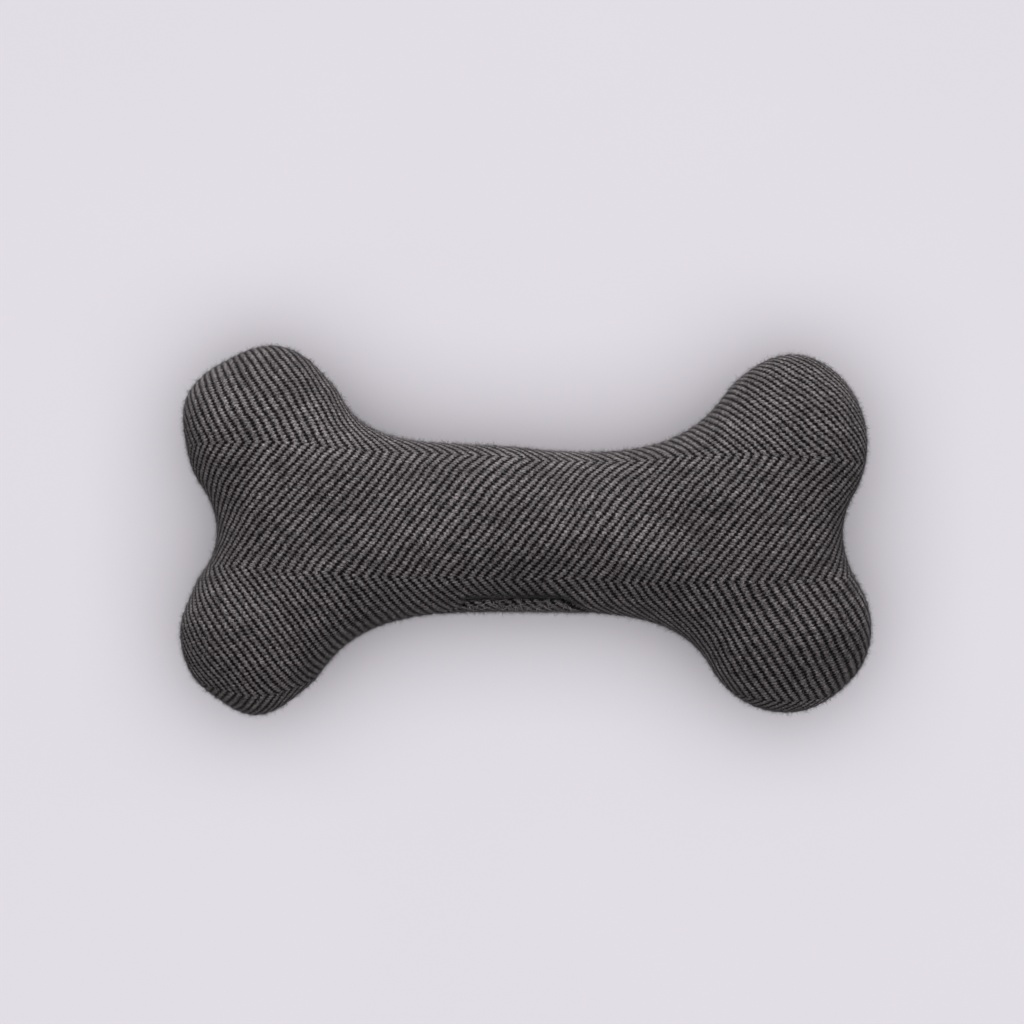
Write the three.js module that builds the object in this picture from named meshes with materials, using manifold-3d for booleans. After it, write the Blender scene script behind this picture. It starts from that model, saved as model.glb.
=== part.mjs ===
// A stuffed bone-shaped dog toy of lined tweed, lying on its back panel.
// Millimetres, +Z up. X runs along the bone, Y across it, and the origin is the
// middle of the underside. Two cloth panels are sewn edge to edge and turned,
// then filled with fibre round a squeaker, and the last stretch of the seam is
// closed by hand with a ladder stitch.

import * as THREE from "three";
import { mergeVertices } from "three/addons/utils/BufferGeometryUtils.js";
import Module from "manifold-3d";

// Driving sizes of the outline, seen from above, about the middle of the bone
const LEFT_UPPER_KNOB = {
  x: -78.9, y: 29.9, radiusAlong: 25.0, radiusAcross: 26.0, startDegrees: 26, endDegrees: 218,
};
const LEFT_LOWER_KNOB = {
  x: -81.9, y: -30.4, radiusAlong: 22.9, radiusAcross: 25.2, startDegrees: 136, endDegrees: 327,
};
const RIGHT_LOWER_KNOB = {
  x: 79.1, y: -29.6, radiusAlong: 25.7, radiusAcross: 25.6, startDegrees: 209, endDegrees: 392,
};
const RIGHT_UPPER_KNOB = {
  x: 79.9, y: 26.2, radiusAlong: 23.7, radiusAcross: 27.0, startDegrees: -34, endDegrees: 145,
};
const SHAFT_UPPER_EDGE = 24.9;
const SHAFT_LOWER_EDGE = 24.5;
const SHAFT_UPPER_SLOPE_SHARE = 0.11;
const SHAFT_LOWER_SLOPE_SHARE = -0.01;
const FORK_REACH = 62;

// Places on the knobs where the filling pushes the cloth out, or leaves it slack
const KNOB_SWELLS = [
  { knob: LEFT_UPPER_KNOB, degrees: 117, reach: 8.5, rise: -1.1 },
  { knob: LEFT_UPPER_KNOB, degrees: 157, reach: 8, rise: 1.1 },
  { knob: LEFT_UPPER_KNOB, degrees: 190, reach: 8.5, rise: -0.7 },
  { knob: LEFT_LOWER_KNOB, degrees: 238, reach: 7, rise: -1 },
  { knob: LEFT_LOWER_KNOB, degrees: 305, reach: 8, rise: -1.3 },
  { knob: RIGHT_LOWER_KNOB, degrees: 309, reach: 9, rise: -0.7 },
  { knob: RIGHT_UPPER_KNOB, degrees: 123, reach: 9, rise: -0.9 },
];

// How far each joining curve keeps its end direction, as shares of its chord
const KNOB_HANDLE_SHARE = 0.34;
const SHAFT_HANDLE_SHARE = 0.44;
const NOTCH_HANDLE_SHARE = 0.38;

// Half thickness of the stuffed form over its middle line
const SHAFT_CROWN = 22;
const FORK_CROWN = 24.2;
const KNOB_CROWN = 20.8;
const FLAT_DEPTH = 0.5;

// Cloth, seam and threads
const CLOTH = 1.3;
const SEAM_ALLOWANCE = 7;
const SEAM_DROP = 2;
const CLOSURE_LEFT = 24;
const CLOSURE_RIGHT = 14;
const CREASE_RISE = 8.5;
const CREASE_LEFT = 15;
const CREASE_RIGHT = 9;
const CREASE_EASE = 17;
const SEAM_HALF_GAP = 0.15;
const CREASE_HALF_GAP = 0.8;
const THREAD_RADIUS = 0.25;
const SEAM_THREAD_SINK = 0.2;
const LADDER_STITCH = 4;
const LADDER_MARGIN = 0.1;

// Fibre filling
const FIT_GAP = 0.3;
const STUFFING_GAP = 0.4;
const KNOB_WAD_START = 9;
const CUT_OVERRUN = 20;

// Squeaker: a hollow bulb with a reed plug pressed into its neck
const BULB_RADIUS = 17;
const BULB_HALF_HEIGHT = 8.5;
const BULB_FOOT_RADIUS = 7;
const BULB_WALL = 0.8;
const NECK_HEIGHT = 3;
const NECK_WALL = 1;
const BARREL_RADIUS = 4.7;
const BARREL_LENGTH = 9;
const BARREL_BORE_RADIUS = 3;
const BARREL_CHAMFER = 0.5;
const FLANGE_RADIUS = 6.2;
const FLANGE_THICKNESS = 1;
const CLAMP_LENGTH = 2.4;
const WEDGE_LENGTH = 7.6;
const TABLE_OFFSET = 0.4;
const TABLE_RELIEF_DEGREES = 4;
const AIR_GROOVE_WIDTH = 1.6;
const AIR_GROOVE_DEPTH = 1.2;
const REED_WIDTH = 3;
const REED_THICKNESS = 0.25;
const REED_LENGTH = 7.2;

// Counts and angles
const KNOB_SPAN_COUNT = 11;
const UPPER_EDGE_SPAN_COUNT = 6;
const LOWER_EDGE_SPAN_COUNT = 7;
const NOTCH_SPAN_COUNT = 3;
const CROWN_DEGREES = 84;
const RING_SHARES = [1, 0.8, 0.6, 0.4, 0.2];
const FOLD_SHARES = [0, 0.25, 0.5, 0.75, 1];
const LIMB_STEP_COUNT = 12;
const CREST_PULL_EXPONENT = 6;
const CREST_EASING_COUNT = 4;
const THREAD_SIDE_COUNT = 6;
const BULB_SIDE_COUNT = 32;
const PLUG_SIDE_COUNT = 24;
const ARC_STEP_COUNT = 6;

const FRONT = 1;
const BACK = -1;

const wasm = await Module();
wasm.setup();

const toRadians = THREE.MathUtils.degToRad;

// Outline: four knob arcs joined by two shaft edges and two end notches

function knobArc(knob) {
  const start = toRadians(knob.startDegrees);
  const end = toRadians(knob.endDegrees);
  return new THREE.EllipseCurve(
    knob.x, knob.y, knob.radiusAlong, knob.radiusAcross, start, end, false,
  );
}

function joiningCurve(start, startDirection, end, endDirection, startShare, endShare) {
  const chord = start.distanceTo(end);
  const first = start.clone().addScaledVector(startDirection, chord * startShare);
  const second = end.clone().addScaledVector(endDirection, -chord * endShare);
  return new THREE.CubicBezierCurve(start, first, second, end);
}

function shaftEdge(from, to, middleY, direction, spans) {
  const middle = new THREE.Vector2(0, middleY);
  const start = from.getPoint(1);
  const end = to.getPoint(0);
  const before = joiningCurve(
    start, from.getTangent(1), middle, direction, KNOB_HANDLE_SHARE, SHAFT_HANDLE_SHARE,
  );
  const after = joiningCurve(
    middle, direction, end, to.getTangent(0), SHAFT_HANDLE_SHARE, KNOB_HANDLE_SHARE,
  );
  const nearPoints = before.getSpacedPoints(spans).slice(1);
  const farPoints = after.getSpacedPoints(spans).slice(1, -1);
  return [...nearPoints, ...farPoints];
}

function notchEdge(from, to) {
  const curve = joiningCurve(
    from.getPoint(1), from.getTangent(1), to.getPoint(0), to.getTangent(0),
    NOTCH_HANDLE_SHARE, NOTCH_HANDLE_SHARE,
  );
  return curve.getSpacedPoints(NOTCH_SPAN_COUNT).slice(1, -1);
}

function outlinePoints() {
  const rightUpper = knobArc(RIGHT_UPPER_KNOB);
  const leftUpper = knobArc(LEFT_UPPER_KNOB);
  const leftLower = knobArc(LEFT_LOWER_KNOB);
  const rightLower = knobArc(RIGHT_LOWER_KNOB);
  const leftward = new THREE.Vector2(-1, SHAFT_UPPER_SLOPE_SHARE).normalize();
  const rightward = new THREE.Vector2(1, SHAFT_LOWER_SLOPE_SHARE).normalize();
  return [
    ...rightUpper.getPoints(KNOB_SPAN_COUNT),
    ...shaftEdge(rightUpper, leftUpper, SHAFT_UPPER_EDGE, leftward, UPPER_EDGE_SPAN_COUNT),
    ...leftUpper.getPoints(KNOB_SPAN_COUNT),
    ...notchEdge(leftUpper, leftLower),
    ...leftLower.getPoints(KNOB_SPAN_COUNT),
    ...shaftEdge(leftLower, rightLower, -SHAFT_LOWER_EDGE, rightward, LOWER_EDGE_SPAN_COUNT),
    ...rightLower.getPoints(KNOB_SPAN_COUNT),
    ...notchEdge(rightLower, rightUpper),
  ];
}

// Each point moves straight out or in by the swells near it
function swelledOutline(points) {
  const swells = KNOB_SWELLS.map(({ knob, degrees, reach, rise }) => {
    const angle = toRadians(degrees);
    const x = knob.x + knob.radiusAlong * Math.cos(angle);
    const y = knob.y + knob.radiusAcross * Math.sin(angle);
    return { middle: new THREE.Vector2(x, y), reach, rise };
  });
  return points.map((point, place) => {
    const before = points.at(place - 1);
    const after = points[(place + 1) % points.length];
    const outward = new THREE.Vector2(after.y - before.y, before.x - after.x).normalize();
    const rise = swells.reduce((total, swell) => {
      const apart = point.distanceTo(swell.middle) / swell.reach;
      return total + swell.rise * Math.exp(-(apart ** 2));
    }, 0);
    return point.clone().addScaledVector(outward, rise);
  });
}

// Middle lines of the bone: one along the shaft and one out to each knob

function skeletonPoints() {
  const leftFork = new THREE.Vector2(-FORK_REACH, 0);
  const rightFork = new THREE.Vector2(FORK_REACH, 0);
  const limbs = [
    [leftFork, rightFork],
    [leftFork, new THREE.Vector2(LEFT_UPPER_KNOB.x, LEFT_UPPER_KNOB.y)],
    [leftFork, new THREE.Vector2(LEFT_LOWER_KNOB.x, LEFT_LOWER_KNOB.y)],
    [rightFork, new THREE.Vector2(RIGHT_UPPER_KNOB.x, RIGHT_UPPER_KNOB.y)],
    [rightFork, new THREE.Vector2(RIGHT_LOWER_KNOB.x, RIGHT_LOWER_KNOB.y)],
  ];
  const points = [];
  for (const [start, end] of limbs) {
    for (let step = 0; step <= LIMB_STEP_COUNT; step += 1) {
      points.push(start.clone().lerp(end, step / LIMB_STEP_COUNT));
    }
  }
  return points;
}

// The crest above an edge point is a mean of the middle lines, the near ones counting most
function crestFoot(edge, skeleton) {
  const foot = new THREE.Vector2();
  let total = 0;
  for (const point of skeleton) {
    const weight = Math.pow(SHAFT_CROWN / edge.distanceTo(point), CREST_PULL_EXPONENT);
    foot.addScaledVector(point, weight);
    total += weight;
  }
  return foot.divideScalar(total);
}

function crownHeight(x) {
  const reach = Math.abs(x);
  const toFork = THREE.MathUtils.smoothstep(reach, FORK_REACH / 2, FORK_REACH);
  const knobReach = (RIGHT_UPPER_KNOB.x + RIGHT_LOWER_KNOB.x) / 2;
  const toKnob = THREE.MathUtils.smoothstep(reach, FORK_REACH, knobReach);
  return SHAFT_CROWN + (FORK_CROWN - SHAFT_CROWN) * toFork + (KNOB_CROWN - FORK_CROWN) * toKnob;
}

// How far the hand sewing draws the seam up into a crease at an edge point, from 0 to 1
function creaseAmount(edge) {
  if (edge.y > 0) {
    return 0;
  }
  const rising = THREE.MathUtils.smoothstep(edge.x, -CREASE_LEFT - CREASE_EASE, -CREASE_LEFT);
  const falling = THREE.MathUtils.smoothstep(edge.x, CREASE_RIGHT, CREASE_RIGHT + CREASE_EASE);
  return rising * (1 - falling);
}

function isInClosure(edge) {
  return edge.y < 0 && edge.x > -CLOSURE_LEFT && edge.x < CLOSURE_RIGHT;
}

// Each foot is drawn towards its two neighbours, so the crest runs smoothly past a fork
function easedFeet(feet) {
  return feet.map((foot, place) => {
    const before = feet.at(place - 1);
    const after = feet[(place + 1) % feet.length];
    return before.clone().add(after).multiplyScalar(1 / 2).lerp(foot, 1 / 2);
  });
}

function makeStation(edge, foot) {
  const reach = edge.distanceTo(foot);
  const crown = crownHeight(foot.x);
  const crease = creaseAmount(edge);
  const seamHeight = THREE.MathUtils.lerp(-SEAM_DROP, CREASE_RISE, crease);
  const seamAngle = Math.asin(seamHeight / crown);
  const halfGap = THREE.MathUtils.lerp(SEAM_HALF_GAP, CREASE_HALF_GAP, crease);
  const outward = edge.clone().sub(foot).normalize();
  return { edge, foot, reach, crown, seamAngle, halfGap, outward };
}

const edges = swelledOutline(outlinePoints());
const skeleton = skeletonPoints();
let feet = edges.map((edge) => crestFoot(edge, skeleton));
for (let easing = 0; easing < CREST_EASING_COUNT; easing += 1) {
  feet = easedFeet(feet);
}
const stations = edges.map((edge, place) => makeStation(edge, feet[place]));

// Sections: a point is a distance out from the crest foot and a height

function spacePoint(station, out, height) {
  const x = station.foot.x + station.outward.x * out;
  const y = station.foot.y + station.outward.y * out;
  return new THREE.Vector3(x, y, height);
}

function sectionPoint(station, angle, inset) {
  const out = (station.reach - inset) * Math.cos(angle);
  const height = (station.crown - inset) * Math.sin(angle);
  return spacePoint(station, out, height);
}

// A place beside the seam line: depth goes into the toy, along goes towards the front crest
function seamPoint(station, depth, along) {
  const angle = station.seamAngle;
  const out = station.reach * Math.cos(angle);
  const height = station.crown * Math.sin(angle);
  const tangent = new THREE.Vector2(
    -station.reach * Math.sin(angle), station.crown * Math.cos(angle),
  ).normalize();
  const outMoved = out - depth * tangent.y + along * tangent.x;
  const heightMoved = height + depth * tangent.x + along * tangent.y;
  return spacePoint(station, outMoved, heightMoved);
}

function ringAngle(station, side, share) {
  const crownAngle = side * toRadians(CROWN_DEGREES);
  return THREE.MathUtils.lerp(station.seamAngle, crownAngle, share);
}

function angleFromSeam(station, side, width) {
  return station.seamAngle + side * width / station.crown;
}

// Lofts: rings of equal count are skinned, and the first and last are closed flat

// Area of the corner a, b, c seen from above, positive where it turns left
function turn(a, b, c) {
  return (b.x - a.x) * (c.y - a.y) - (b.y - a.y) * (c.x - a.x);
}

// The triangle beyond the side a, b and its far corner, if there is one
function acrossSide(triangles, a, b) {
  const place = triangles.findIndex((corners) => (
    corners.some((corner, at) => corner === b && corners[(at + 1) % 3] === a)
  ));
  if (place < 0) {
    return null;
  }
  const far = triangles[place].find((corner) => corner !== a && corner !== b);
  return { place, far };
}

// Swaps one shared side for the other diagonal of its field where that is shorter
function swapOneSide(points, triangles) {
  for (let place = 0; place < triangles.length; place += 1) {
    for (let side = 0; side < 3; side += 1) {
      const a = triangles[place][side];
      const b = triangles[place][(side + 1) % 3];
      const c = triangles[place][(side + 2) % 3];
      const other = acrossSide(triangles, a, b);
      if (other) {
        const d = other.far;
        const isShorter = points[c].distanceTo(points[d]) < points[a].distanceTo(points[b]);
        const isOpen = turn(points[c], points[d], points[b]) > 0
          && turn(points[d], points[c], points[a]) > 0;
        if (isShorter && isOpen) {
          triangles[place] = [c, a, d];
          triangles[other.place] = [d, b, c];
          return true;
        }
      }
    }
  }
  return false;
}

// The strip along the crest is closed by triangles with short sides, the same in every skin
function crestCap() {
  const ring = stations.map((s) => sectionPoint(s, ringAngle(s, FRONT, 1), 0));
  const points = ring.map((point) => new THREE.Vector2(point.x, point.y));
  const triangles = THREE.ShapeUtils.triangulateShape(points, []);
  let isEven = false;
  while (!isEven) {
    isEven = !swapOneSide(points, triangles);
  }
  return triangles;
}

const crestTriangles = crestCap();

// The four-sided fields between two stations are split along the diagonal that bulges,
// the same way in every skin, so that one skin stays parallel to the next
function bulgesForward(station, next) {
  const [, upper, lower] = RING_SHARES;
  const a = sectionPoint(station, ringAngle(station, FRONT, upper), 0);
  const b = sectionPoint(next, ringAngle(next, FRONT, upper), 0).sub(a);
  const c = sectionPoint(next, ringAngle(next, FRONT, lower), 0).sub(a);
  const d = sectionPoint(station, ringAngle(station, FRONT, lower), 0).sub(a);
  return b.cross(c).dot(d) > 0;
}

const forwardFields = stations.map((station, place) => (
  bulgesForward(station, stations[(place + 1) % stations.length])
));

function splitsSkinForward(here, there, place) {
  const station = stations[place];
  const seamHeight = station.crown * Math.sin(station.seamAngle);
  const isFalling = Math.abs(here.z - seamHeight) > Math.abs(there.z - seamHeight);
  return forwardFields[place] === isFalling;
}

function splitsForward() {
  return true;
}

function loftRings(rings, capTriangles, isForward) {
  const count = rings[0].length;
  const positions = rings.flat().flatMap((point) => point.toArray());
  const indices = [];
  for (let ring = 0; ring < rings.length - 1; ring += 1) {
    for (let place = 0; place < count; place += 1) {
      const next = (place + 1) % count;
      const here = ring * count;
      const there = here + count;
      if (isForward(rings[ring][place], rings[ring + 1][place], place)) {
        indices.push(here + place, here + next, there + next);
        indices.push(here + place, there + next, there + place);
      } else {
        indices.push(here + place, here + next, there + place);
        indices.push(here + next, there + next, there + place);
      }
    }
  }
  const last = (rings.length - 1) * count;
  for (const [a, b, c] of capTriangles) {
    indices.push(a, c, b);
  }
  for (const [a, b, c] of capTriangles) {
    indices.push(last + a, last + b, last + c);
  }
  const geometry = new THREE.BufferGeometry();
  geometry.setAttribute("position", new THREE.Float32BufferAttribute(positions, 3));
  geometry.setIndex(indices);
  return faceOutward(geometry);
}

function signedVolume(geometry) {
  const position = geometry.getAttribute("position");
  const index = geometry.getIndex();
  const a = new THREE.Vector3();
  const b = new THREE.Vector3();
  const c = new THREE.Vector3();
  let volume = 0;
  for (let corner = 0; corner < index.count; corner += 3) {
    a.fromBufferAttribute(position, index.getX(corner));
    b.fromBufferAttribute(position, index.getX(corner + 1));
    c.fromBufferAttribute(position, index.getX(corner + 2));
    volume += a.dot(b.cross(c)) / 6;
  }
  return volume;
}

function faceOutward(geometry) {
  if (signedVolume(geometry) < 0) {
    geometry.setIndex(Array.from(geometry.getIndex().array).reverse());
  }
  return geometry;
}

// Solids for joining and cutting

function toSolid(geometry) {
  const bare = geometry.clone();
  bare.deleteAttribute("normal");
  bare.deleteAttribute("uv");
  const merged = mergeVertices(bare);
  const vertProperties = new Float32Array(merged.getAttribute("position").array);
  const triVerts = new Uint32Array(merged.getIndex().array);
  return new wasm.Manifold(new wasm.Mesh({ numProp: 3, vertProperties, triVerts }));
}

function toGeometry(solid) {
  const mesh = solid.getMesh();
  const geometry = new THREE.BufferGeometry();
  geometry.setAttribute("position", new THREE.BufferAttribute(mesh.vertProperties, 3));
  geometry.setIndex(new THREE.BufferAttribute(mesh.triVerts, 1));
  return geometry;
}

function blockSolid(low, high) {
  const size = high.clone().sub(low);
  const centre = low.clone().add(high).multiplyScalar(1 / 2);
  const box = new THREE.BoxGeometry(size.x, size.y, size.z);
  box.translate(centre.x, centre.y, centre.z);
  return toSolid(box);
}

const halfLength = Math.max(...stations.map((station) => Math.abs(station.edge.x)));
const halfWidth = Math.max(...stations.map((station) => Math.abs(station.edge.y)));
const blockX = halfLength + CUT_OVERRUN;
const blockY = halfWidth + CUT_OVERRUN;
const blockZ = FORK_CROWN + CUT_OVERRUN;

// Cloth panels: the outer face, the turned fold at the seam, and the allowance
// lying on the inner face

function panelRings(side) {
  const rings = [];
  for (const share of RING_SHARES) {
    rings.push(stations.map((s) => sectionPoint(s, ringAngle(s, side, share), 0)));
  }
  for (const turn of FOLD_SHARES) {
    const angle = turn * Math.PI;
    rings.push(stations.map((s) => {
      const depth = CLOTH - CLOTH * Math.cos(angle);
      const along = side * (s.halfGap + CLOTH - CLOTH * Math.sin(angle));
      return seamPoint(s, depth, along);
    }));
  }
  const hem = stations.map((s) => angleFromSeam(s, side, SEAM_ALLOWANCE));
  rings.push(stations.map((s, place) => sectionPoint(s, hem[place], CLOTH * 2)));
  rings.push(stations.map((s, place) => sectionPoint(s, hem[place], CLOTH)));
  for (const share of RING_SHARES.slice(0, -1).reverse()) {
    rings.push(stations.map((s) => sectionPoint(s, ringAngle(s, side, share), CLOTH)));
  }
  return rings;
}

function frontPanel() {
  return loftRings(panelRings(FRONT), crestTriangles, splitsSkinForward);
}

const lowestCrest = FORK_CROWN * Math.sin(toRadians(CROWN_DEGREES));
const restingHeight = -(lowestCrest - FLAT_DEPTH);

function backPanel() {
  const whole = toSolid(loftRings(panelRings(BACK), crestTriangles, splitsSkinForward));
  const low = new THREE.Vector3(-blockX, -blockY, restingHeight);
  const high = new THREE.Vector3(blockX, blockY, blockZ);
  return toGeometry(whole.intersect(blockSolid(low, high)));
}

// Threads: a closed section carried from place to place along the seam

const threadEndTriangles = [];
for (let place = 1; place < THREAD_SIDE_COUNT - 1; place += 1) {
  threadEndTriangles.push([0, place, place + 1]);
}

function threadSection(station, depth, along) {
  const points = [];
  for (let side = 0; side < THREAD_SIDE_COUNT; side += 1) {
    const angle = side / THREAD_SIDE_COUNT * Math.PI * 2;
    const depthHere = depth + THREAD_RADIUS * Math.cos(angle);
    const alongHere = along + THREAD_RADIUS * Math.sin(angle);
    points.push(seamPoint(station, depthHere, alongHere));
  }
  return points;
}

function seamThread() {
  const inside = stations.map((station) => isInClosure(station.edge));
  const first = inside.lastIndexOf(true) + 1;
  const kept = stations.length - inside.filter(Boolean).length;
  const rings = [];
  for (let step = 0; step < kept; step += 1) {
    const station = stations[(first + step) % stations.length];
    rings.push(threadSection(station, CLOTH * 2 - SEAM_THREAD_SINK, 0));
  }
  return loftRings(rings, threadEndTriangles, splitsForward);
}

// The thread crosses from fold to fold, and each run between two stations is straight,
// so a place part of the way along is a mix of the two sections there
function ladderSection(x, side) {
  const next = stations.findIndex((station, place) => {
    const before = stations.at(place - 1);
    return before.edge.y < 0 && before.edge.x <= x && x < station.edge.x && station.edge.y < 0;
  });
  const before = stations.at(next - 1);
  const after = stations[next];
  const share = (x - before.edge.x) / (after.edge.x - before.edge.x);
  const nearPoints = threadSection(before, 0, side * (before.halfGap - LADDER_MARGIN));
  const farPoints = threadSection(after, 0, side * (after.halfGap - LADDER_MARGIN));
  return nearPoints.map((point, place) => point.lerp(farPoints[place], share));
}

function closingThread() {
  const length = CLOSURE_LEFT + CLOSURE_RIGHT;
  const stitches = Math.round(length / LADDER_STITCH);
  const rings = [];
  for (let stitch = 0; stitch <= stitches; stitch += 1) {
    const x = -CLOSURE_LEFT + length * stitch / stitches;
    rings.push(ladderSection(x, stitch % 2 === 0 ? FRONT : BACK));
  }
  return loftRings(rings, threadEndTriangles, splitsForward);
}

// Fibre filling: one body inside the cloth, parted into the wads it is stuffed as

function fillingRings() {
  const thin = CLOTH + STUFFING_GAP;
  const deep = CLOTH * 2 + STUFFING_GAP;
  const step = SEAM_ALLOWANCE + STUFFING_GAP;
  const crownShares = RING_SHARES.slice(0, -1);
  const half = (side) => {
    const hem = stations.map((s) => angleFromSeam(s, side, step));
    return [
      ...crownShares.map((share) => (
        stations.map((s) => sectionPoint(s, ringAngle(s, side, share), thin))
      )),
      stations.map((s, place) => sectionPoint(s, hem[place], thin)),
      stations.map((s, place) => sectionPoint(s, hem[place], deep)),
    ];
  };
  const middleRing = stations.map((s) => sectionPoint(s, s.seamAngle, deep));
  return [...half(FRONT), middleRing, ...half(BACK).reverse()];
}

// Everything beyond a slanting cut between a fork and its knob
function knobBlock(knob, start) {
  const forkX = Math.sign(knob.x) * FORK_REACH;
  const direction = Math.atan2(knob.y, knob.x - forkX);
  const box = new THREE.BoxGeometry(blockX, blockX * 2, blockZ * 2);
  box.translate(blockX / 2 + start, 0, 0);
  box.rotateZ(direction);
  box.translate(forkX, 0, 0);
  return toSolid(box);
}

// The half of the toy above or below the long middle line, less half the parting gap
function acrossBlock(sign) {
  const near = sign * FIT_GAP / 2;
  const far = sign * blockY;
  const low = new THREE.Vector3(-blockX, Math.min(near, far), -blockZ);
  const high = new THREE.Vector3(blockX, Math.max(near, far), blockZ);
  return blockSolid(low, high);
}

function thicknessBlock(side) {
  const near = side * FIT_GAP / 2;
  const far = side * blockZ;
  const low = new THREE.Vector3(-blockX, -blockY, Math.min(near, far));
  const high = new THREE.Vector3(blockX, blockY, Math.max(near, far));
  return blockSolid(low, high);
}

const ALL_KNOBS = [LEFT_UPPER_KNOB, LEFT_LOWER_KNOB, RIGHT_UPPER_KNOB, RIGHT_LOWER_KNOB];
const filling = toSolid(loftRings(fillingRings(), crestTriangles, splitsSkinForward));

function knobWad(knob) {
  const beyond = filling.intersect(knobBlock(knob, KNOB_WAD_START + FIT_GAP / 2));
  return toGeometry(beyond.intersect(acrossBlock(Math.sign(knob.y))));
}

function shaftWad(side) {
  let solid = filling.intersect(thicknessBlock(side));
  for (const knob of ALL_KNOBS) {
    solid = solid.subtract(knobBlock(knob, KNOB_WAD_START - FIT_GAP / 2));
  }
  return toGeometry(solid.subtract(squeakerPocket()));
}

// Squeaker, standing upright at the middle of the shaft

const neckRadius = BARREL_RADIUS + FIT_GAP;
const neckOuterRadius = neckRadius + NECK_WALL;
const neckTop = BULB_HALF_HEIGHT + NECK_HEIGHT;
const flangeBottom = neckTop + FIT_GAP;
const flangeTop = flangeBottom + FLANGE_THICKNESS;
const barrelBottom = flangeTop - BARREL_LENGTH;

// A quarter of an ellipse from one end point to the other, the turn shares going 0 to 1
function quarterArc(innerRadius, outerRadius, height, fromEquator) {
  const points = [];
  for (let step = 0; step <= ARC_STEP_COUNT; step += 1) {
    const angle = step / ARC_STEP_COUNT * Math.PI / 2;
    const radius = innerRadius + (outerRadius - innerRadius) * Math.cos(angle);
    points.push(new THREE.Vector2(radius, height * Math.sin(angle)));
  }
  return fromEquator ? points : points.reverse();
}

// Half section of the bulb from its foot to its neck, drawn in by an even inset
function bulbSide(inset) {
  const height = BULB_HALF_HEIGHT - inset;
  const radius = BULB_RADIUS - inset;
  const lower = quarterArc(BULB_FOOT_RADIUS, radius, -height, false);
  const upper = quarterArc(neckOuterRadius - inset, radius, height, true);
  return [...lower, ...upper.slice(1)];
}

function latheGeometry(points, sides) {
  const lathe = new THREE.LatheGeometry(points, sides);
  lathe.rotateX(Math.PI / 2);
  return faceOutward(mergeVertices(stripped(lathe)));
}

function stripped(geometry) {
  geometry.deleteAttribute("normal");
  geometry.deleteAttribute("uv");
  return geometry;
}

function squeakerBulb() {
  const outer = bulbSide(0);
  const inner = bulbSide(BULB_WALL).reverse();
  const profile = [
    new THREE.Vector2(0, -BULB_HALF_HEIGHT),
    ...outer,
    new THREE.Vector2(neckOuterRadius, neckTop),
    new THREE.Vector2(neckRadius, neckTop),
    ...inner,
    new THREE.Vector2(0, -BULB_HALF_HEIGHT + BULB_WALL),
  ];
  return latheGeometry(profile, BULB_SIDE_COUNT);
}

function squeakerPocket() {
  const profile = [
    new THREE.Vector2(0, -BULB_HALF_HEIGHT - FIT_GAP),
    ...bulbSide(-FIT_GAP),
    new THREE.Vector2(FLANGE_RADIUS + FIT_GAP, BULB_HALF_HEIGHT + FIT_GAP),
    new THREE.Vector2(FLANGE_RADIUS + FIT_GAP, flangeTop + FIT_GAP),
    new THREE.Vector2(0, flangeTop + FIT_GAP),
  ];
  return toSolid(latheGeometry(profile, BULB_SIDE_COUNT));
}

// The barrel's bore is round, with a flat clamp across its upper end that holds the reed
const clampFace = TABLE_OFFSET + FIT_GAP * 2 + REED_THICKNESS;

function reedBarrel() {
  const profile = [
    new THREE.Vector2(BARREL_BORE_RADIUS, barrelBottom),
    new THREE.Vector2(BARREL_RADIUS - BARREL_CHAMFER, barrelBottom),
    new THREE.Vector2(BARREL_RADIUS, barrelBottom + BARREL_CHAMFER),
    new THREE.Vector2(BARREL_RADIUS, flangeBottom),
    new THREE.Vector2(FLANGE_RADIUS, flangeBottom),
    new THREE.Vector2(FLANGE_RADIUS, flangeTop),
    new THREE.Vector2(BARREL_BORE_RADIUS, flangeTop),
    new THREE.Vector2(BARREL_BORE_RADIUS, barrelBottom),
  ];
  const tube = toSolid(latheGeometry(profile, PLUG_SIDE_COUNT));
  const clampRadius = (BARREL_RADIUS + BARREL_BORE_RADIUS) / 2;
  const low = new THREE.Vector3(clampFace, -BARREL_BORE_RADIUS, flangeTop - CLAMP_LENGTH);
  const high = new THREE.Vector3(clampRadius, BARREL_BORE_RADIUS, flangeTop);
  const disc = new THREE.CylinderGeometry(clampRadius, clampRadius, blockZ, PLUG_SIDE_COUNT);
  disc.rotateX(Math.PI / 2);
  const clamp = blockSolid(low, high).intersect(toSolid(disc));
  return toGeometry(tube.add(clamp));
}

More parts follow.
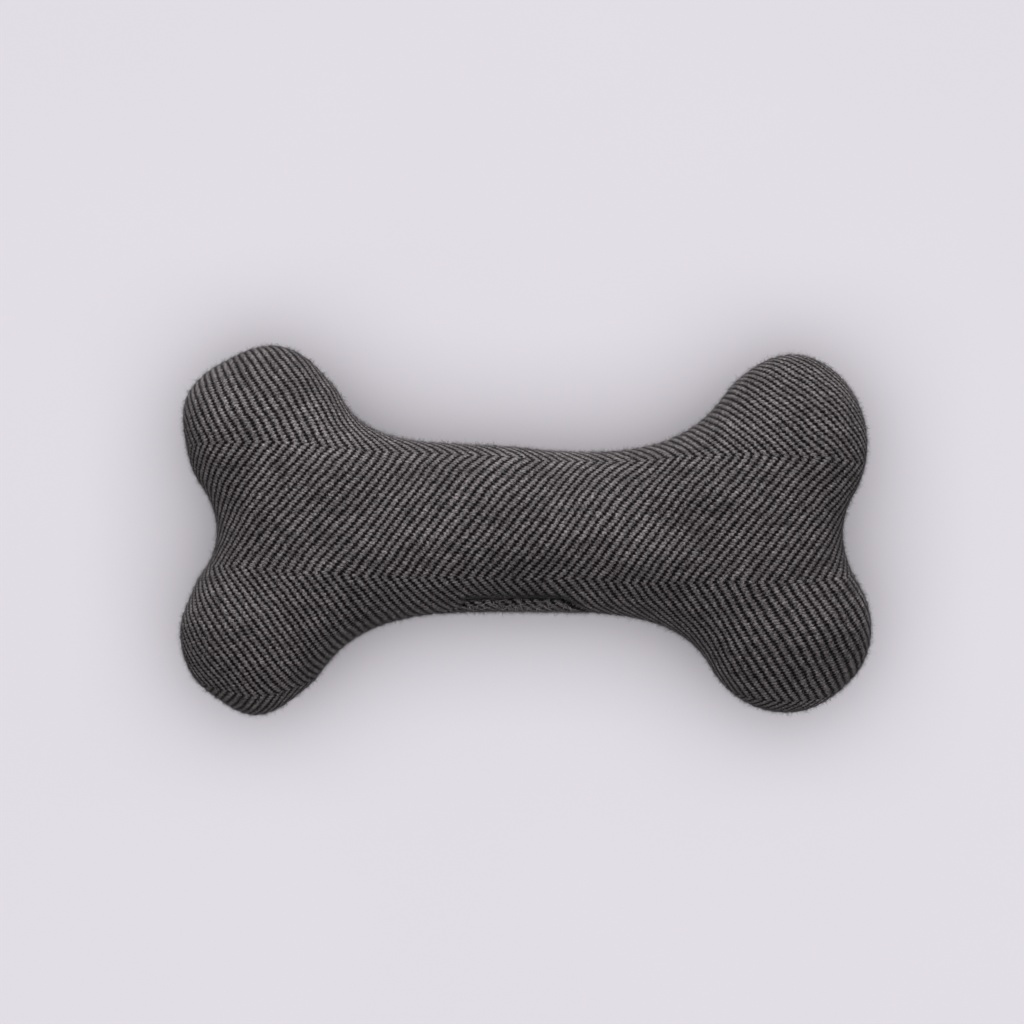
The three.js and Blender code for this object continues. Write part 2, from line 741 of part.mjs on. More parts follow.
// The wedge fills the other half of the bore. Its table falls away from the reed below
// the clamp, and a groove down its middle lets the air past.
function reedWedge() {
  const radius = BARREL_BORE_RADIUS - FIT_GAP;
  const rod = new THREE.CylinderGeometry(radius, radius, WEDGE_LENGTH, PLUG_SIDE_COUNT);
  rod.rotateX(Math.PI / 2);
  rod.translate(0, 0, flangeTop - WEDGE_LENGTH / 2);
  const high = new THREE.Vector3(TABLE_OFFSET, blockY, blockZ);
  const low = new THREE.Vector3(-blockX, -blockY, -blockZ);
  let solid = toSolid(rod).intersect(blockSolid(low, high));
  const relief = new THREE.BoxGeometry(BARREL_RADIUS, blockY, blockZ);
  relief.translate(BARREL_RADIUS / 2, 0, -blockZ / 2);
  relief.rotateY(toRadians(TABLE_RELIEF_DEGREES));
  relief.translate(TABLE_OFFSET, 0, flangeTop - CLAMP_LENGTH);
  solid = solid.subtract(toSolid(relief));
  const grooveLow = new THREE.Vector3(
    TABLE_OFFSET - AIR_GROOVE_DEPTH, -AIR_GROOVE_WIDTH / 2, -blockZ,
  );
  const grooveHigh = new THREE.Vector3(
    blockX, AIR_GROOVE_WIDTH / 2, flangeTop - CLAMP_LENGTH,
  );
  return toGeometry(solid.subtract(blockSolid(grooveLow, grooveHigh)));
}

function reedTongue() {
  const outline = new THREE.Shape();
  const halfReed = REED_WIDTH / 2;
  const straight = REED_LENGTH - halfReed;
  outline.moveTo(-halfReed, 0);
  outline.lineTo(-halfReed, -straight);
  outline.absarc(0, -straight, halfReed, Math.PI, Math.PI * 2, false);
  outline.lineTo(halfReed, 0);
  const tongue = new THREE.ExtrudeGeometry(outline, {
    depth: REED_THICKNESS, bevelEnabled: false, curveSegments: ARC_STEP_COUNT,
  });
  tongue.rotateX(Math.PI / 2);
  tongue.rotateZ(Math.PI / 2);
  tongue.translate(TABLE_OFFSET + FIT_GAP, 0, flangeTop);
  return mergeVertices(stripped(tongue));
}

// Finishes

const tweed = { color: 0x4b4748, roughness: 0.95, metalness: 0 };
const thread = { color: 0x2d2b2c, roughness: 0.8, metalness: 0 };
const fibre = { color: 0xe9e6e0, roughness: 1, metalness: 0 };
const softPlastic = { color: 0xe8e6df, roughness: 0.45, metalness: 0 };
const hardPlastic = { color: 0xf4f3ee, roughness: 0.35, metalness: 0 };
const reedFilm = { color: 0xd9d3bd, roughness: 0.25, metalness: 0 };

function piece(name, geometry, finish) {
  geometry.computeVertexNormals();
  const mesh = new THREE.Mesh(geometry, new THREE.MeshStandardMaterial(finish));
  mesh.name = name;
  return mesh;
}

const cover = new THREE.Group();
cover.add(piece("front_panel", frontPanel(), tweed));
cover.add(piece("back_panel", backPanel(), tweed));
cover.add(piece("seam_thread", seamThread(), thread));
cover.add(piece("closing_thread", closingThread(), thread));

const stuffing = new THREE.Group();
stuffing.add(piece("knob_wad_left_upper", knobWad(LEFT_UPPER_KNOB), fibre));
stuffing.add(piece("knob_wad_left_lower", knobWad(LEFT_LOWER_KNOB), fibre));
stuffing.add(piece("knob_wad_right_upper", knobWad(RIGHT_UPPER_KNOB), fibre));
stuffing.add(piece("knob_wad_right_lower", knobWad(RIGHT_LOWER_KNOB), fibre));
stuffing.add(piece("shaft_wad_front", shaftWad(FRONT), fibre));
stuffing.add(piece("shaft_wad_back", shaftWad(BACK), fibre));

const squeaker = new THREE.Group();
squeaker.add(piece("squeaker_bulb", squeakerBulb(), softPlastic));
squeaker.add(piece("reed_barrel", reedBarrel(), hardPlastic));
squeaker.add(piece("reed_wedge", reedWedge(), hardPlastic));
squeaker.add(piece("reed_tongue", reedTongue(), reedFilm));

const toy = new THREE.Group();
toy.add(cover, stuffing, squeaker);

const bounds = new THREE.Box3().setFromObject(toy, true);
const middle = bounds.getCenter(new THREE.Vector3());
toy.position.set(-middle.x, -middle.y, -bounds.min.z);

export default toy;
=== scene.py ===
"""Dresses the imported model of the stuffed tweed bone: cloth, seams, filling and squeaker."""

import logging
import math
from dataclasses import dataclass, field
from enum import Enum

import bmesh
import bpy
import numpy as np
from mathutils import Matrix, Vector, geometry, kdtree


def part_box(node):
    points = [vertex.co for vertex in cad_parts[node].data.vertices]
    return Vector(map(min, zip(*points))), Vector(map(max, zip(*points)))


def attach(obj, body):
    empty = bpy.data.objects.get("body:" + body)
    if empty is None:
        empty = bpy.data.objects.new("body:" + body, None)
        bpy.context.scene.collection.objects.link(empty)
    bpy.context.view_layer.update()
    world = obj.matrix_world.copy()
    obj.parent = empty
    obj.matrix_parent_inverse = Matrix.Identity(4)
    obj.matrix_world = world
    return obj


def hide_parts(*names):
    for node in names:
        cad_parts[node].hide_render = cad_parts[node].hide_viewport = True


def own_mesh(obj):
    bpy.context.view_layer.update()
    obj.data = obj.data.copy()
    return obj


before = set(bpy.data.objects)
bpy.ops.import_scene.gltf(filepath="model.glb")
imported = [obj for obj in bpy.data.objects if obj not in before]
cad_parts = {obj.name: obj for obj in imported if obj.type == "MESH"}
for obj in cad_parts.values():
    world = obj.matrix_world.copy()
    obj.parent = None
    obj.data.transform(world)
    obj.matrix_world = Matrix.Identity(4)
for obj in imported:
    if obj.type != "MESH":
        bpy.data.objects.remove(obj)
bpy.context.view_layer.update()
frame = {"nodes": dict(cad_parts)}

MILLIMETRE = 0.001
TOY_BODY = "toy"
CLOTH_UV = "cloth"
# Name of the mesh attribute that holds painted shade in and beside the seams.
PAINTED_SHADE = "tucked"
HELD = "held"
FULL_TURN = 2.0 * math.pi
TINY = 1e-12
CURVE_POINTS = 240
HAIR_SIDES = 3
NOISE_LOW, NOISE_HIGH = 0.3, 0.7
MIX_FIRST, MIX_SECOND, MIX_RESULT = 6, 7, 2


class Side(Enum):
    """The two faces of the toy."""

    FRONT = 1
    BACK = -1


# Small helpers for shapes


def smooth_step(value: np.ndarray, low: float, high: float) -> np.ndarray:
    """Rises smoothly from 0 at low to 1 at high."""
    share = np.clip((value - low) / (high - low), 0.0, 1.0)
    return share * share * (3.0 - 2.0 * share)


def mix(first: np.ndarray, second: np.ndarray, share: np.ndarray) -> np.ndarray:
    """A share of the way from first to second."""
    return first + (second - first) * share


def unit(vectors: np.ndarray) -> np.ndarray:
    """The vectors at length one."""
    return vectors / np.maximum(np.linalg.norm(vectors, axis=-1, keepdims=True), TINY)


def evened(points: np.ndarray, pitch: float) -> np.ndarray:
    """Spaces a closed line evenly.

    Args:
        points: Corners of the line, without the first one again at the end.
        pitch: Wanted distance between neighbours.

    Returns:
        Points along the same line, about that far apart.
    """
    closed = np.vstack([points, points[:1]])
    steps = np.linalg.norm(np.diff(closed, axis=0), axis=1)
    length = np.concatenate([[0.0], np.cumsum(steps)])
    count = int(round(length[-1] / pitch))
    wanted = np.linspace(0.0, length[-1], count, endpoint=False)
    return np.stack([np.interp(wanted, length, closed[:, axis]) for axis in range(2)], 1)


def eased(values: np.ndarray, reach: float, pitch: float) -> np.ndarray:
    """Smooths values round a closed line with a bell of the given reach.

    Args:
        values: A row for each point of the line.
        reach: Reach of the bell.
        pitch: Distance between two points, in the same unit.

    Returns:
        The smoothed rows.
    """
    count = len(values)
    waves = np.fft.fftfreq(count) * FULL_TURN * reach / pitch
    bell = np.exp(-0.5 * waves**2)[:, None]
    return np.fft.ifft(np.fft.fft(values, axis=0) * bell, axis=0).real


class Wander:
    """A smooth unevenness in space, of many waves laid over each other."""

    COUNT: int = 24
    LENGTHS: tuple = (0.7, 1.6)

    def __init__(self, seed: int, wavelength: float) -> None:
        """Draws the waves, the same ones for the same seed.

        Args:
            seed: Seed of the random draws.
            wavelength: Typical distance between two swells.
        """
        draws = np.random.RandomState(seed)
        directions = unit(draws.normal(size=(self.COUNT, 3)))
        lengths = wavelength * draws.uniform(*self.LENGTHS, size=(self.COUNT, 1))
        self.waves = directions * FULL_TURN / lengths
        self.starts = draws.uniform(0.0, FULL_TURN, size=self.COUNT)

    def at(self, points: np.ndarray) -> np.ndarray:
        """The unevenness at points, mostly between minus one and one.

        Args:
            points: Places, the last axis holding x, y and z.

        Returns:
            A value for each place.
        """
        total = np.zeros(points.shape[:-1])
        for wave, start in zip(self.waves, self.starts):
            total += np.sin(points @ wave + start)
        return total / math.sqrt(self.COUNT)


def make_piece(
    name: str, points: np.ndarray, faces: list, flat: np.ndarray | None = None,
    tucked: np.ndarray | None = None,
) -> bpy.types.Object:
    """Makes a smooth mesh piece.

    Args:
        name: Name of the piece.
        points: Corners, in metres.
        faces: Corner numbers of each face.
        flat: Place of each corner in the flat cloth, in millimetres.
        tucked: How dark each corner is painted with seam shade, from 0 to 1.

    Returns:
        The new object, at the origin.
    """
    mesh = bpy.data.meshes.new(name)
    mesh.from_pydata(points.reshape(-1, 3).tolist(), [], faces)
    if flat is not None:
        corners = np.zeros(len(mesh.loops), dtype=np.int32)
        mesh.loops.foreach_get("vertex_index", corners)
        layer = mesh.uv_layers.new(name=CLOTH_UV)
        layer.data.foreach_set("uv", flat.reshape(-1, 2)[corners].astype(np.float32).ravel())
    if tucked is not None:
        depth = mesh.attributes.new(PAINTED_SHADE, "FLOAT", "POINT")
        depth.data.foreach_set("value", tucked.astype(np.float32).ravel())
    mesh.shade_smooth()
    mesh.update()
    piece = bpy.data.objects.new(name, mesh)
    bpy.context.scene.collection.objects.link(piece)
    return piece


def ring_faces(rings: int, count: int, flips: bool) -> list:
    """Four-sided faces between neighbouring closed rings of equal count.

    Args:
        rings: Number of rings.
        count: Corners in each ring.
        flips: Whether the faces turn the other way.

    Returns:
        Corner numbers of each face.
    """
    place = np.arange(count)
    after = (place + 1) % count
    starts = np.arange(rings - 1)[:, None] * count
    corners = [starts + place, starts + after, starts + count + after, starts + count + place]
    if flips:
        corners.reverse()
    return np.stack(corners, axis=-1).reshape(-1, 4).tolist()


def closed_ring_faces(rings: int, count: int, flips: bool) -> list:
    """Faces between neighbouring rings, with the first and the last ring closed.

    Args:
        rings: Number of rings.
        count: Corners in each ring.
        flips: Whether the faces turn the other way.

    Returns:
        Corner numbers of each face.
    """
    last = (rings - 1) * count
    ends = [list(range(count))[::-1], list(range(last, last + count))]
    return ring_faces(rings, count, flips) + [end[:: -1 if flips else 1] for end in ends]


def round_sections(
    middle: np.ndarray, across: np.ndarray, upward: np.ndarray, radius: float, sides: int
) -> np.ndarray:
    """Round sections about a row of middles.

    Args:
        middle: Middle of each section.
        across: Direction from each middle to its first corner.
        upward: Direction a quarter turn on.
        radius: Radius of the sections.
        sides: Corners of each section.

    Returns:
        The corners of each section.
    """
    angles = np.arange(sides) / sides * FULL_TURN
    return (
        middle[:, None]
        + radius * across[:, None] * np.cos(angles)[None, :, None]
        + radius * upward[:, None] * np.sin(angles)[None, :, None]
    )


def tube(path: np.ndarray, radius: float, sides: int) -> tuple[np.ndarray, list]:
    """Sweeps a round section along a line.

    Args:
        path: Points of the middle line.
        radius: Radius of the section.
        sides: Corners of the section.

    Returns:
        The corners and the faces, with both ends closed.
    """
    heading = unit(np.gradient(path, axis=0))
    across = np.zeros_like(path)
    across[0] = unit(np.cross(heading[0], [0.0, 0.0, 1.0]))
    for step in range(1, len(path)):
        before = across[step - 1]
        across[step] = unit(before - heading[step] * (before @ heading[step]))
    rings = round_sections(path, across, np.cross(heading, across), radius, sides)
    return rings.reshape(-1, 3), closed_ring_faces(len(path), sides, flips=False)


def corner_rows(mesh: bpy.types.Mesh, kind: str = "co") -> np.ndarray:
    """Place or normal of each corner of a mesh.

    Args:
        mesh: The mesh.
        kind: What is read, as Blender names it.

    Returns:
        A row for each corner.
    """
    rows = np.zeros(len(mesh.vertices) * 3)
    mesh.vertices.foreach_get(kind, rows)
    return rows.reshape(-1, 3)


def apply_modifier(piece: bpy.types.Object, modifier: bpy.types.Modifier) -> None:
    """Applies one modifier of a piece."""
    with bpy.context.temp_override(object=piece, active_object=piece, selected_objects=[piece]):
        bpy.ops.object.modifier_apply(modifier=modifier.name)


def mesh_evenly(piece: bpy.types.Object, voxel: float) -> None:
    """Gives a piece a mesh of even faces about the same form.

    Args:
        piece: The piece.
        voxel: Size of the faces, in metres.
    """
    remesh = piece.modifiers.new("even", "REMESH")
    remesh.mode = "VOXEL"
    remesh.voxel_size = voxel
    apply_modifier(piece, remesh)


# Finishes


@dataclass(frozen=True)
class Mottle:
    """Smooth unevenness: its swells in each unit of place, and the values that they cover."""

    scale: float
    low: float
    high: float
    detail: float = 2.0


class Pattern:
    """Writes the nodes of one material, one after another."""

    def __init__(self, name: str) -> None:
        """Starts an empty material.

        Args:
            name: Name of the material.
        """
        self.material = bpy.data.materials.new(name)
        self.material.use_nodes = True
        self.nodes = self.material.node_tree.nodes
        self.links = self.material.node_tree.links
        self.nodes.clear()
        self.output = self.nodes.new("ShaderNodeOutputMaterial")

    def put(self, node: bpy.types.Node, socket: str | int, value: object) -> None:
        """Links a socket's value, or sets it where it is a plain number or colour.

        Args:
            node: The node that takes the value.
            socket: Name or number of its input.
            value: Another node's output, or a plain value.
        """
        target = node.inputs[socket]
        if isinstance(value, bpy.types.NodeSocket):
            self.links.new(value, target)
        else:
            target.default_value = value

    def math(self, operation: str, *values: object) -> bpy.types.NodeSocket:
        """One Math node's result.

        Args:
            operation: The node's operation, as Blender names it.
            values: Its inputs, in order.

        Returns:
            The result.
        """
        node = self.nodes.new("ShaderNodeMath")
        node.operation = operation
        for place, value in enumerate(values):
            self.put(node, place, value)
        return node.outputs[0]

    def spread(
        self, value: object, low: float, high: float, start: float = 0.0, end: float = 1.0
    ) -> bpy.types.NodeSocket:
        """Maps low to high onto start to end, smoothly and no further.

        Args:
            value: The value that is mapped.
            low: Value that becomes the start.
            high: Value that becomes the end.
            start: Result at low.
            end: Result at high.

        Returns:
            The mapped value.
        """
        node = self.nodes.new("ShaderNodeMapRange")
        node.interpolation_type = "SMOOTHSTEP"
        for place, item in enumerate((value, low, high, start, end)):
            self.put(node, place, item)
        return node.outputs[0]

    def colour_mix(self, share: object, first: object, second: object) -> bpy.types.NodeSocket:
        """A colour a share of the way from first to second.

        Args:
            share: The share, from 0 to 1.
            first: Colour at 0.
            second: Colour at 1.

        Returns:
            The colour.
        """
        node = self.nodes.new("ShaderNodeMix")
        node.data_type = "RGBA"
        self.put(node, 0, share)
        self.put(node, MIX_FIRST, first)
        self.put(node, MIX_SECOND, second)
        return node.outputs[MIX_RESULT]

    def scaled_colour(self, colour: object, amount: object) -> bpy.types.NodeSocket:
        """A colour times an amount.

        Args:
            colour: The colour.
            amount: What it is multiplied by.

        Returns:
            The colour.
        """
        node = self.nodes.new("ShaderNodeVectorMath")
        node.operation = "SCALE"
        self.put(node, 0, colour[:3] if isinstance(colour, tuple) else colour)
        self.put(node, 3, amount)
        return node.outputs[0]

    def object_place(self) -> bpy.types.NodeSocket:
        """Place on the piece, in metres."""
        return self.nodes.new("ShaderNodeTexCoord").outputs["Object"]

    def cloth_place(self) -> tuple[bpy.types.NodeSocket, bpy.types.NodeSocket]:
        """Place in the flat cloth, in millimetres along and across the warp.

        Returns:
            The place along and the place across.
        """
        node = self.nodes.new("ShaderNodeUVMap")
        node.uv_map = CLOTH_UV
        parts = self.nodes.new("ShaderNodeSeparateXYZ")
        self.links.new(node.outputs[0], parts.inputs[0])
        return parts.outputs[0], parts.outputs[1]

    def painted_shade_factor(self, shade: float) -> bpy.types.NodeSocket:
        """Brightness lowered by the painted shade stored on the mesh, darkest deep in a seam.

        Args:
            shade: Share of the brightness that the painted shade takes away in the seam.

        Returns:
            The brightness, one in the open.
        """
        node = self.nodes.new("ShaderNodeAttribute")
        node.attribute_name = PAINTED_SHADE
        return self.math("MULTIPLY_ADD", node.outputs["Fac"], -shade, 1.0)

    def vector(self, x: object, y: object) -> bpy.types.NodeSocket:
        """Two values as one vector.

        Args:
            x: First value.
            y: Second value.

        Returns:
            The vector, with nothing as its third value.
        """
        node = self.nodes.new("ShaderNodeCombineXYZ")
        self.put(node, "X", x)
        self.put(node, "Y", y)
        return node.outputs[0]

    def noise(self, place: object, scale: float, detail: float = 2.0) -> bpy.types.NodeSocket:
        """Smooth noise about one half.

        Args:
            place: Where the noise is read.
            scale: Swells in each unit of place.
            detail: How many finer layers lie over it.

        Returns:
            The noise.
        """
        node = self.nodes.new("ShaderNodeTexNoise")
        self.put(node, "Vector", place)
        self.put(node, "Scale", scale)
        self.put(node, "Detail", detail)
        return node.outputs[0]

    def sway(self, place: object, scale: float, amount: float) -> bpy.types.NodeSocket:
        """Smooth noise about nothing.

        Args:
            place: Where the noise is read.
            scale: Swells in each unit of place.
            amount: Distance from the lowest value to the highest.

        Returns:
            The noise.
        """
        return self.math("MULTIPLY_ADD", self.noise(place, scale), amount, -amount / 2.0)

    def mottled(self, place: object, mottle: Mottle) -> bpy.types.NodeSocket:
        """Smooth noise that covers a mottle's values.

        Args:
            place: Where the noise is read.
            mottle: The swells and their values.

        Returns:
            The noise.
        """
        noise = self.noise(place, mottle.scale, mottle.detail)
        return self.spread(noise, NOISE_LOW, NOISE_HIGH, mottle.low, mottle.high)

    def chance(self, place: object) -> bpy.types.NodeSocket:
        """One random value for each whole place.

        Args:
            place: The place, of which two values count.

        Returns:
            The value.
        """
        node = self.nodes.new("ShaderNodeTexWhiteNoise")
        node.noise_dimensions = "2D"
        self.put(node, "Vector", place)
        return node.outputs[0]

    def bump(self, height: object, distance: float, strength: float) -> bpy.types.NodeSocket:
        """A normal roughened by a height, whose unit is the distance in metres.

        Args:
            height: The height.
            distance: Length of one unit of height, in metres.
            strength: Share of the roughness that shows.

        Returns:
            The normal.
        """
        node = self.nodes.new("ShaderNodeBump")
        self.put(node, "Strength", strength)
        self.put(node, "Distance", distance)
        self.put(node, "Height", height)
        return node.outputs[0]

    def surface(self, **sockets: object) -> bpy.types.Material:
        """Closes the material with a Principled shader, its sockets named with underscores.

        Args:
            sockets: Value of each socket that isn't left as it is.

        Returns:
            The finished material.
        """
        shader = self.nodes.new("ShaderNodeBsdfPrincipled")
        for name, value in sockets.items():
            self.put(shader, name.replace("_", " "), value)
        self.links.new(shader.outputs[0], self.output.inputs["Surface"])
        return self.material


@dataclass(frozen=True)
class Tweed:
    """Herringbone wool tweed: pale warp along the bone, dark weft across it.

    A float is the stretch of a warp yarn that lies on top, and the lift says how far it stands
    up: one in a float's middle, minus one where the weft covers it. The pairs named for a
    wobble hold its swells in a unit of place and its width.
    """

    warp_pitch: float = 0.93
    weft_pitch: float = 0.72
    ends_per_band: int = 43
    band_start: float = -14.0
    repeat: int = 4
    float_start: float = 0.5
    float_end: float = -0.55
    float_edge: float = 1.05
    pick_wobble: tuple = (800.0, 0.9)
    end_wobble: tuple = (0.9, 0.5)
    lift_wobble: tuple = (0.7, 1.3)
    # Where and how deeply the gaps between floats are painted in shade.
    hole_lift: float = -0.1
    hole_width: float = 0.7
    gap_shade_depth: float = 0.87
    warp_hairs: tuple = (1.3, 3.0)
    weft_hairs: tuple = (3.4, 1.2)
    hair_detail: float = 3.0
    yarn_side: float = 0.58
    yarn_shade: tuple = (0.66, 1.02)
    yarn_tones: tuple = (0.9, 1.1)
    yarn_draw: float = 7.0
    float_tones: tuple = (0.76, 1.24)
    hair_noise: tuple = (0.36, 0.64)
    hair_tones: tuple = (0.42, 1.62)
    patches: Mottle = Mottle(28.0, 0.86, 1.14, 3.0)
    tufts: Mottle = Mottle(240.0, 0.84, 1.16)
    # Share of brightness that the painted seam shade takes away.
    painted_shade_strength: float = 0.96
    warp_rise: float = 0.4
    weft_rise: float = 0.3
    weft_sink: float = -0.4
    hair_rise: float = 0.6
    bump_height: float = 0.00024
    bump_strength: float = 0.9
    pale: tuple = (0.1258, 0.1128, 0.116, 1.0)
    dark: tuple = (0.0275, 0.0246, 0.0255, 1.0)
    sheen_tint: tuple = (0.8, 0.78, 0.8, 1.0)

    def folded(self, across: np.ndarray) -> np.ndarray:
        """Warp end counted up one band and down the next, turning about an end's middle.

        Args:
            across: Places across the warp, in millimetres of flat cloth.

        Returns:
            The count at each place.
        """
        ends = (across - self.band_start) / self.warp_pitch - 0.5
        fold = np.mod(ends, 2 * self.ends_per_band)
        return np.where(fold < self.ends_per_band, fold, 2 * self.ends_per_band - fold) + 0.5

    def rib(self, flat: np.ndarray) -> np.ndarray:
        """Rise of the pale ribs, from minus one to one.

        Args:
            flat: Places in the flat cloth, in millimetres.

        Returns:
            The rise at each place.
        """
        phase = flat[..., 0] / self.weft_pitch - self.folded(flat[..., 1]) - self.float_start
        return np.cos(FULL_TURN * phase / self.repeat)

    def make(self) -> bpy.types.Material:
        """The cloth's material.

        Returns:
            The material.
        """
        p = Pattern("herringbone_tweed")
        along, across = p.cloth_place()
        place = p.object_place()

        # Which yarn lies where: picks along the bone, ends across it, and the lift of the warp
        drift = p.sway(place, *self.pick_wobble)
        lean = p.sway(p.vector(across, along), *self.end_wobble)
        pick = p.math("DIVIDE", p.math("ADD", along, drift), self.weft_pitch)
        shifted = p.math("SUBTRACT", p.math("ADD", across, lean), self.band_start)
        end = p.math("DIVIDE", shifted, self.warp_pitch)
        turned = p.math("PINGPONG", p.math("SUBTRACT", end, 0.5), float(self.ends_per_band))
        folded = p.math("ADD", turned, 0.5)
        row = p.math("ADD", p.math("FLOOR", folded), 0.5)
        apart = p.math("SUBTRACT", p.math("SUBTRACT", pick, row), self.float_start)
        lift = p.math("COSINE", p.math("MULTIPLY", apart, FULL_TURN / self.repeat))
        lift = p.math("ADD", lift, p.sway(p.vector(along, across), *self.lift_wobble))
        warp_round = self._roundness(p, folded)
        weft_round = self._roundness(p, pick)
        is_warp = p.spread(lift, self.float_end, self.float_end + self.float_edge)
        # Painted shade in the gaps between the floats, where the warp dips lowest.
        low = p.spread(lift, -1.0, self.hole_lift, 1.0, 0.0)
        gap_shade = p.math("MULTIPLY", low, p.spread(warp_round, 0.0, self.hole_width))

        # Colour of both sets of yarns
        warp_hairs = self._hair_lines(p, along, across, self.warp_hairs)
        weft_hairs = self._hair_lines(p, along, across, self.weft_hairs)
        float_count = p.math("FLOOR", p.math("DIVIDE", apart, float(self.repeat)))
        warp_tone = self._tone(p, p.math("FLOOR", end), float_count, warp_hairs)
        # Painted shade: the pale yarns darken towards their round sides.
        side_shade = p.spread(warp_round, 0.0, self.yarn_side, *self.yarn_shade)
        warp = p.scaled_colour(self.pale, p.math("MULTIPLY", warp_tone, side_shade))
        weft = p.scaled_colour(self.dark, self._tone(p, p.math("FLOOR", pick), row, weft_hairs))
        patches = p.math("MULTIPLY", p.mottled(place, self.patches), p.mottled(place, self.tufts))
        # Painted shade: the cloth darkens in the turned edges and beside the gaping closure, where
        # shade falls.
        patches = p.math("MULTIPLY", patches, p.painted_shade_factor(self.painted_shade_strength))
        shade = p.math("MULTIPLY", p.spread(gap_shade, 0.0, 1.0, 1.0, 1.0 - self.gap_shade_depth), patches)
        colour = p.scaled_colour(p.colour_mix(is_warp, weft, warp), shade)

        # Roughness of the yarns and their hairs
        swell = p.math("MULTIPLY_ADD", lift, 0.5, p.math("MULTIPLY", warp_round, self.warp_rise))
        weft_swell = p.math("MULTIPLY_ADD", weft_round, self.weft_rise, self.weft_sink)
        swell = p.math("MAXIMUM", swell, weft_swell)
        hairs = p.math("MULTIPLY", p.math("ADD", warp_hairs, weft_hairs), self.hair_rise)
        normal = p.bump(p.math("ADD", swell, hairs), self.bump_height, self.bump_strength)
        return p.surface(
            Base_Color=colour, Roughness=0.95, Specular_IOR_Level=0.08, Normal=normal,
            Sheen_Weight=0.1, Sheen_Roughness=0.4, Sheen_Tint=self.sheen_tint,
        )

    def _roundness(self, p: Pattern, count: object) -> bpy.types.NodeSocket:
        """Height over a round yarn, from nothing at its sides to one at its middle.

        Args:
            p: The material's nodes.
            count: Place across the yarns, in yarns.

        Returns:
            The height.
        """
        side = p.math("MULTIPLY_ADD", p.math("FRACT", count), 2.0, -1.0)
        return p.math("SUBTRACT", 1.0, p.math("MULTIPLY", side, side))

    def _hair_lines(
        self, p: Pattern, along: object, across: object, hairs: tuple
    ) -> bpy.types.NodeSocket:
        """Noise drawn out into hairs that run with one set of yarns.

        Args:
            p: The material's nodes.
            along: Place along the warp, in millimetres.
            across: Place across the warp, in millimetres.
            hairs: Hairs in a millimetre along the warp and across it.

        Returns:
            The noise.
        """
        long, wide = hairs
        place = p.vector(p.math("MULTIPLY", along, long), p.math("MULTIPLY", across, wide))
        return p.noise(place, 1.0, self.hair_detail)

    def _tone(
        self, p: Pattern, yarn: object, knot: object, hairs: object
    ) -> bpy.types.NodeSocket:
        """Brightness of a yarn, uneven from yarn to yarn, float to float and hair to hair.

        Args:
            p: The material's nodes.
            yarn: Number of the yarn.
            knot: Number of the float on it.
            hairs: Noise that runs with the yarn.

        Returns:
            The brightness, about one.
        """
        each = p.spread(p.chance(p.vector(yarn, self.yarn_draw)), 0.0, 1.0, *self.yarn_tones)
        one = p.spread(p.chance(p.vector(yarn, knot)), 0.0, 1.0, *self.float_tones)
        fine = p.spread(hairs, *self.hair_noise, *self.hair_tones)
        return p.math("MULTIPLY", p.math("MULTIPLY", each, one), fine)


@dataclass(frozen=True)
class Fibrous:
    """A matt finish of fine fibre, such as wool hair or polyester wadding."""

    name: str
    colour: tuple
    flecks: Mottle
    sheen: float = 0.2
    # Share of brightness that the painted seam shade takes away.
    painted_shade_strength: float = 0.96
    bump_finer: float = 2.0
    bump_detail: float = 4.0
    bump_height: float = 0.0004
    bump_strength: float = 0.6

    def make(self) -> bpy.types.Material:
        """The fibre's material.

        Returns:
            The material.
        """
        p = Pattern(self.name)
        place = p.object_place()
        flecks = p.mottled(place, self.flecks)
        fluff = p.noise(place, self.flecks.scale * self.bump_finer, self.bump_detail)
        # Painted shade: the fibre darkens where the mesh holds painted seam shade.
        shade = p.math("MULTIPLY", flecks, p.painted_shade_factor(self.painted_shade_strength))
        return p.surface(
            Base_Color=p.scaled_colour(self.colour, shade), Roughness=0.9,
            Normal=p.bump(fluff, self.bump_height, self.bump_strength), Specular_IOR_Level=0.2,
            Sheen_Weight=self.sheen, Sheen_Roughness=0.5,
        )


@dataclass(frozen=True)
class SpunThread:
    """Sewing thread of two plies with a slight shine."""

    name: str = "spun_thread"
    colour: tuple = (0.026, 0.024, 0.025, 1.0)
    twist_scale: float = 2600.0 / 6.0
    twist_wobble: float = 2.0
    twist_tones: tuple = (0.6, 1.4)
    bump_height: float = 0.00008
    bump_strength: float = 0.8

    def make(self) -> bpy.types.Material:
        """The thread's material.

        Returns:
            The material.
        """
        p = Pattern(self.name)
        wave = p.nodes.new("ShaderNodeTexWave")
        wave.bands_direction = "DIAGONAL"
        p.put(wave, "Vector", p.object_place())
        p.put(wave, "Scale", self.twist_scale)
        p.put(wave, "Distortion", self.twist_wobble)
        twist = wave.outputs["Fac"]
        tone = p.spread(twist, 0.0, 1.0, *self.twist_tones)
        return p.surface(
            Base_Color=p.scaled_colour(self.colour, tone), Roughness=0.55,
            Normal=p.bump(twist, self.bump_height, self.bump_strength),
        )


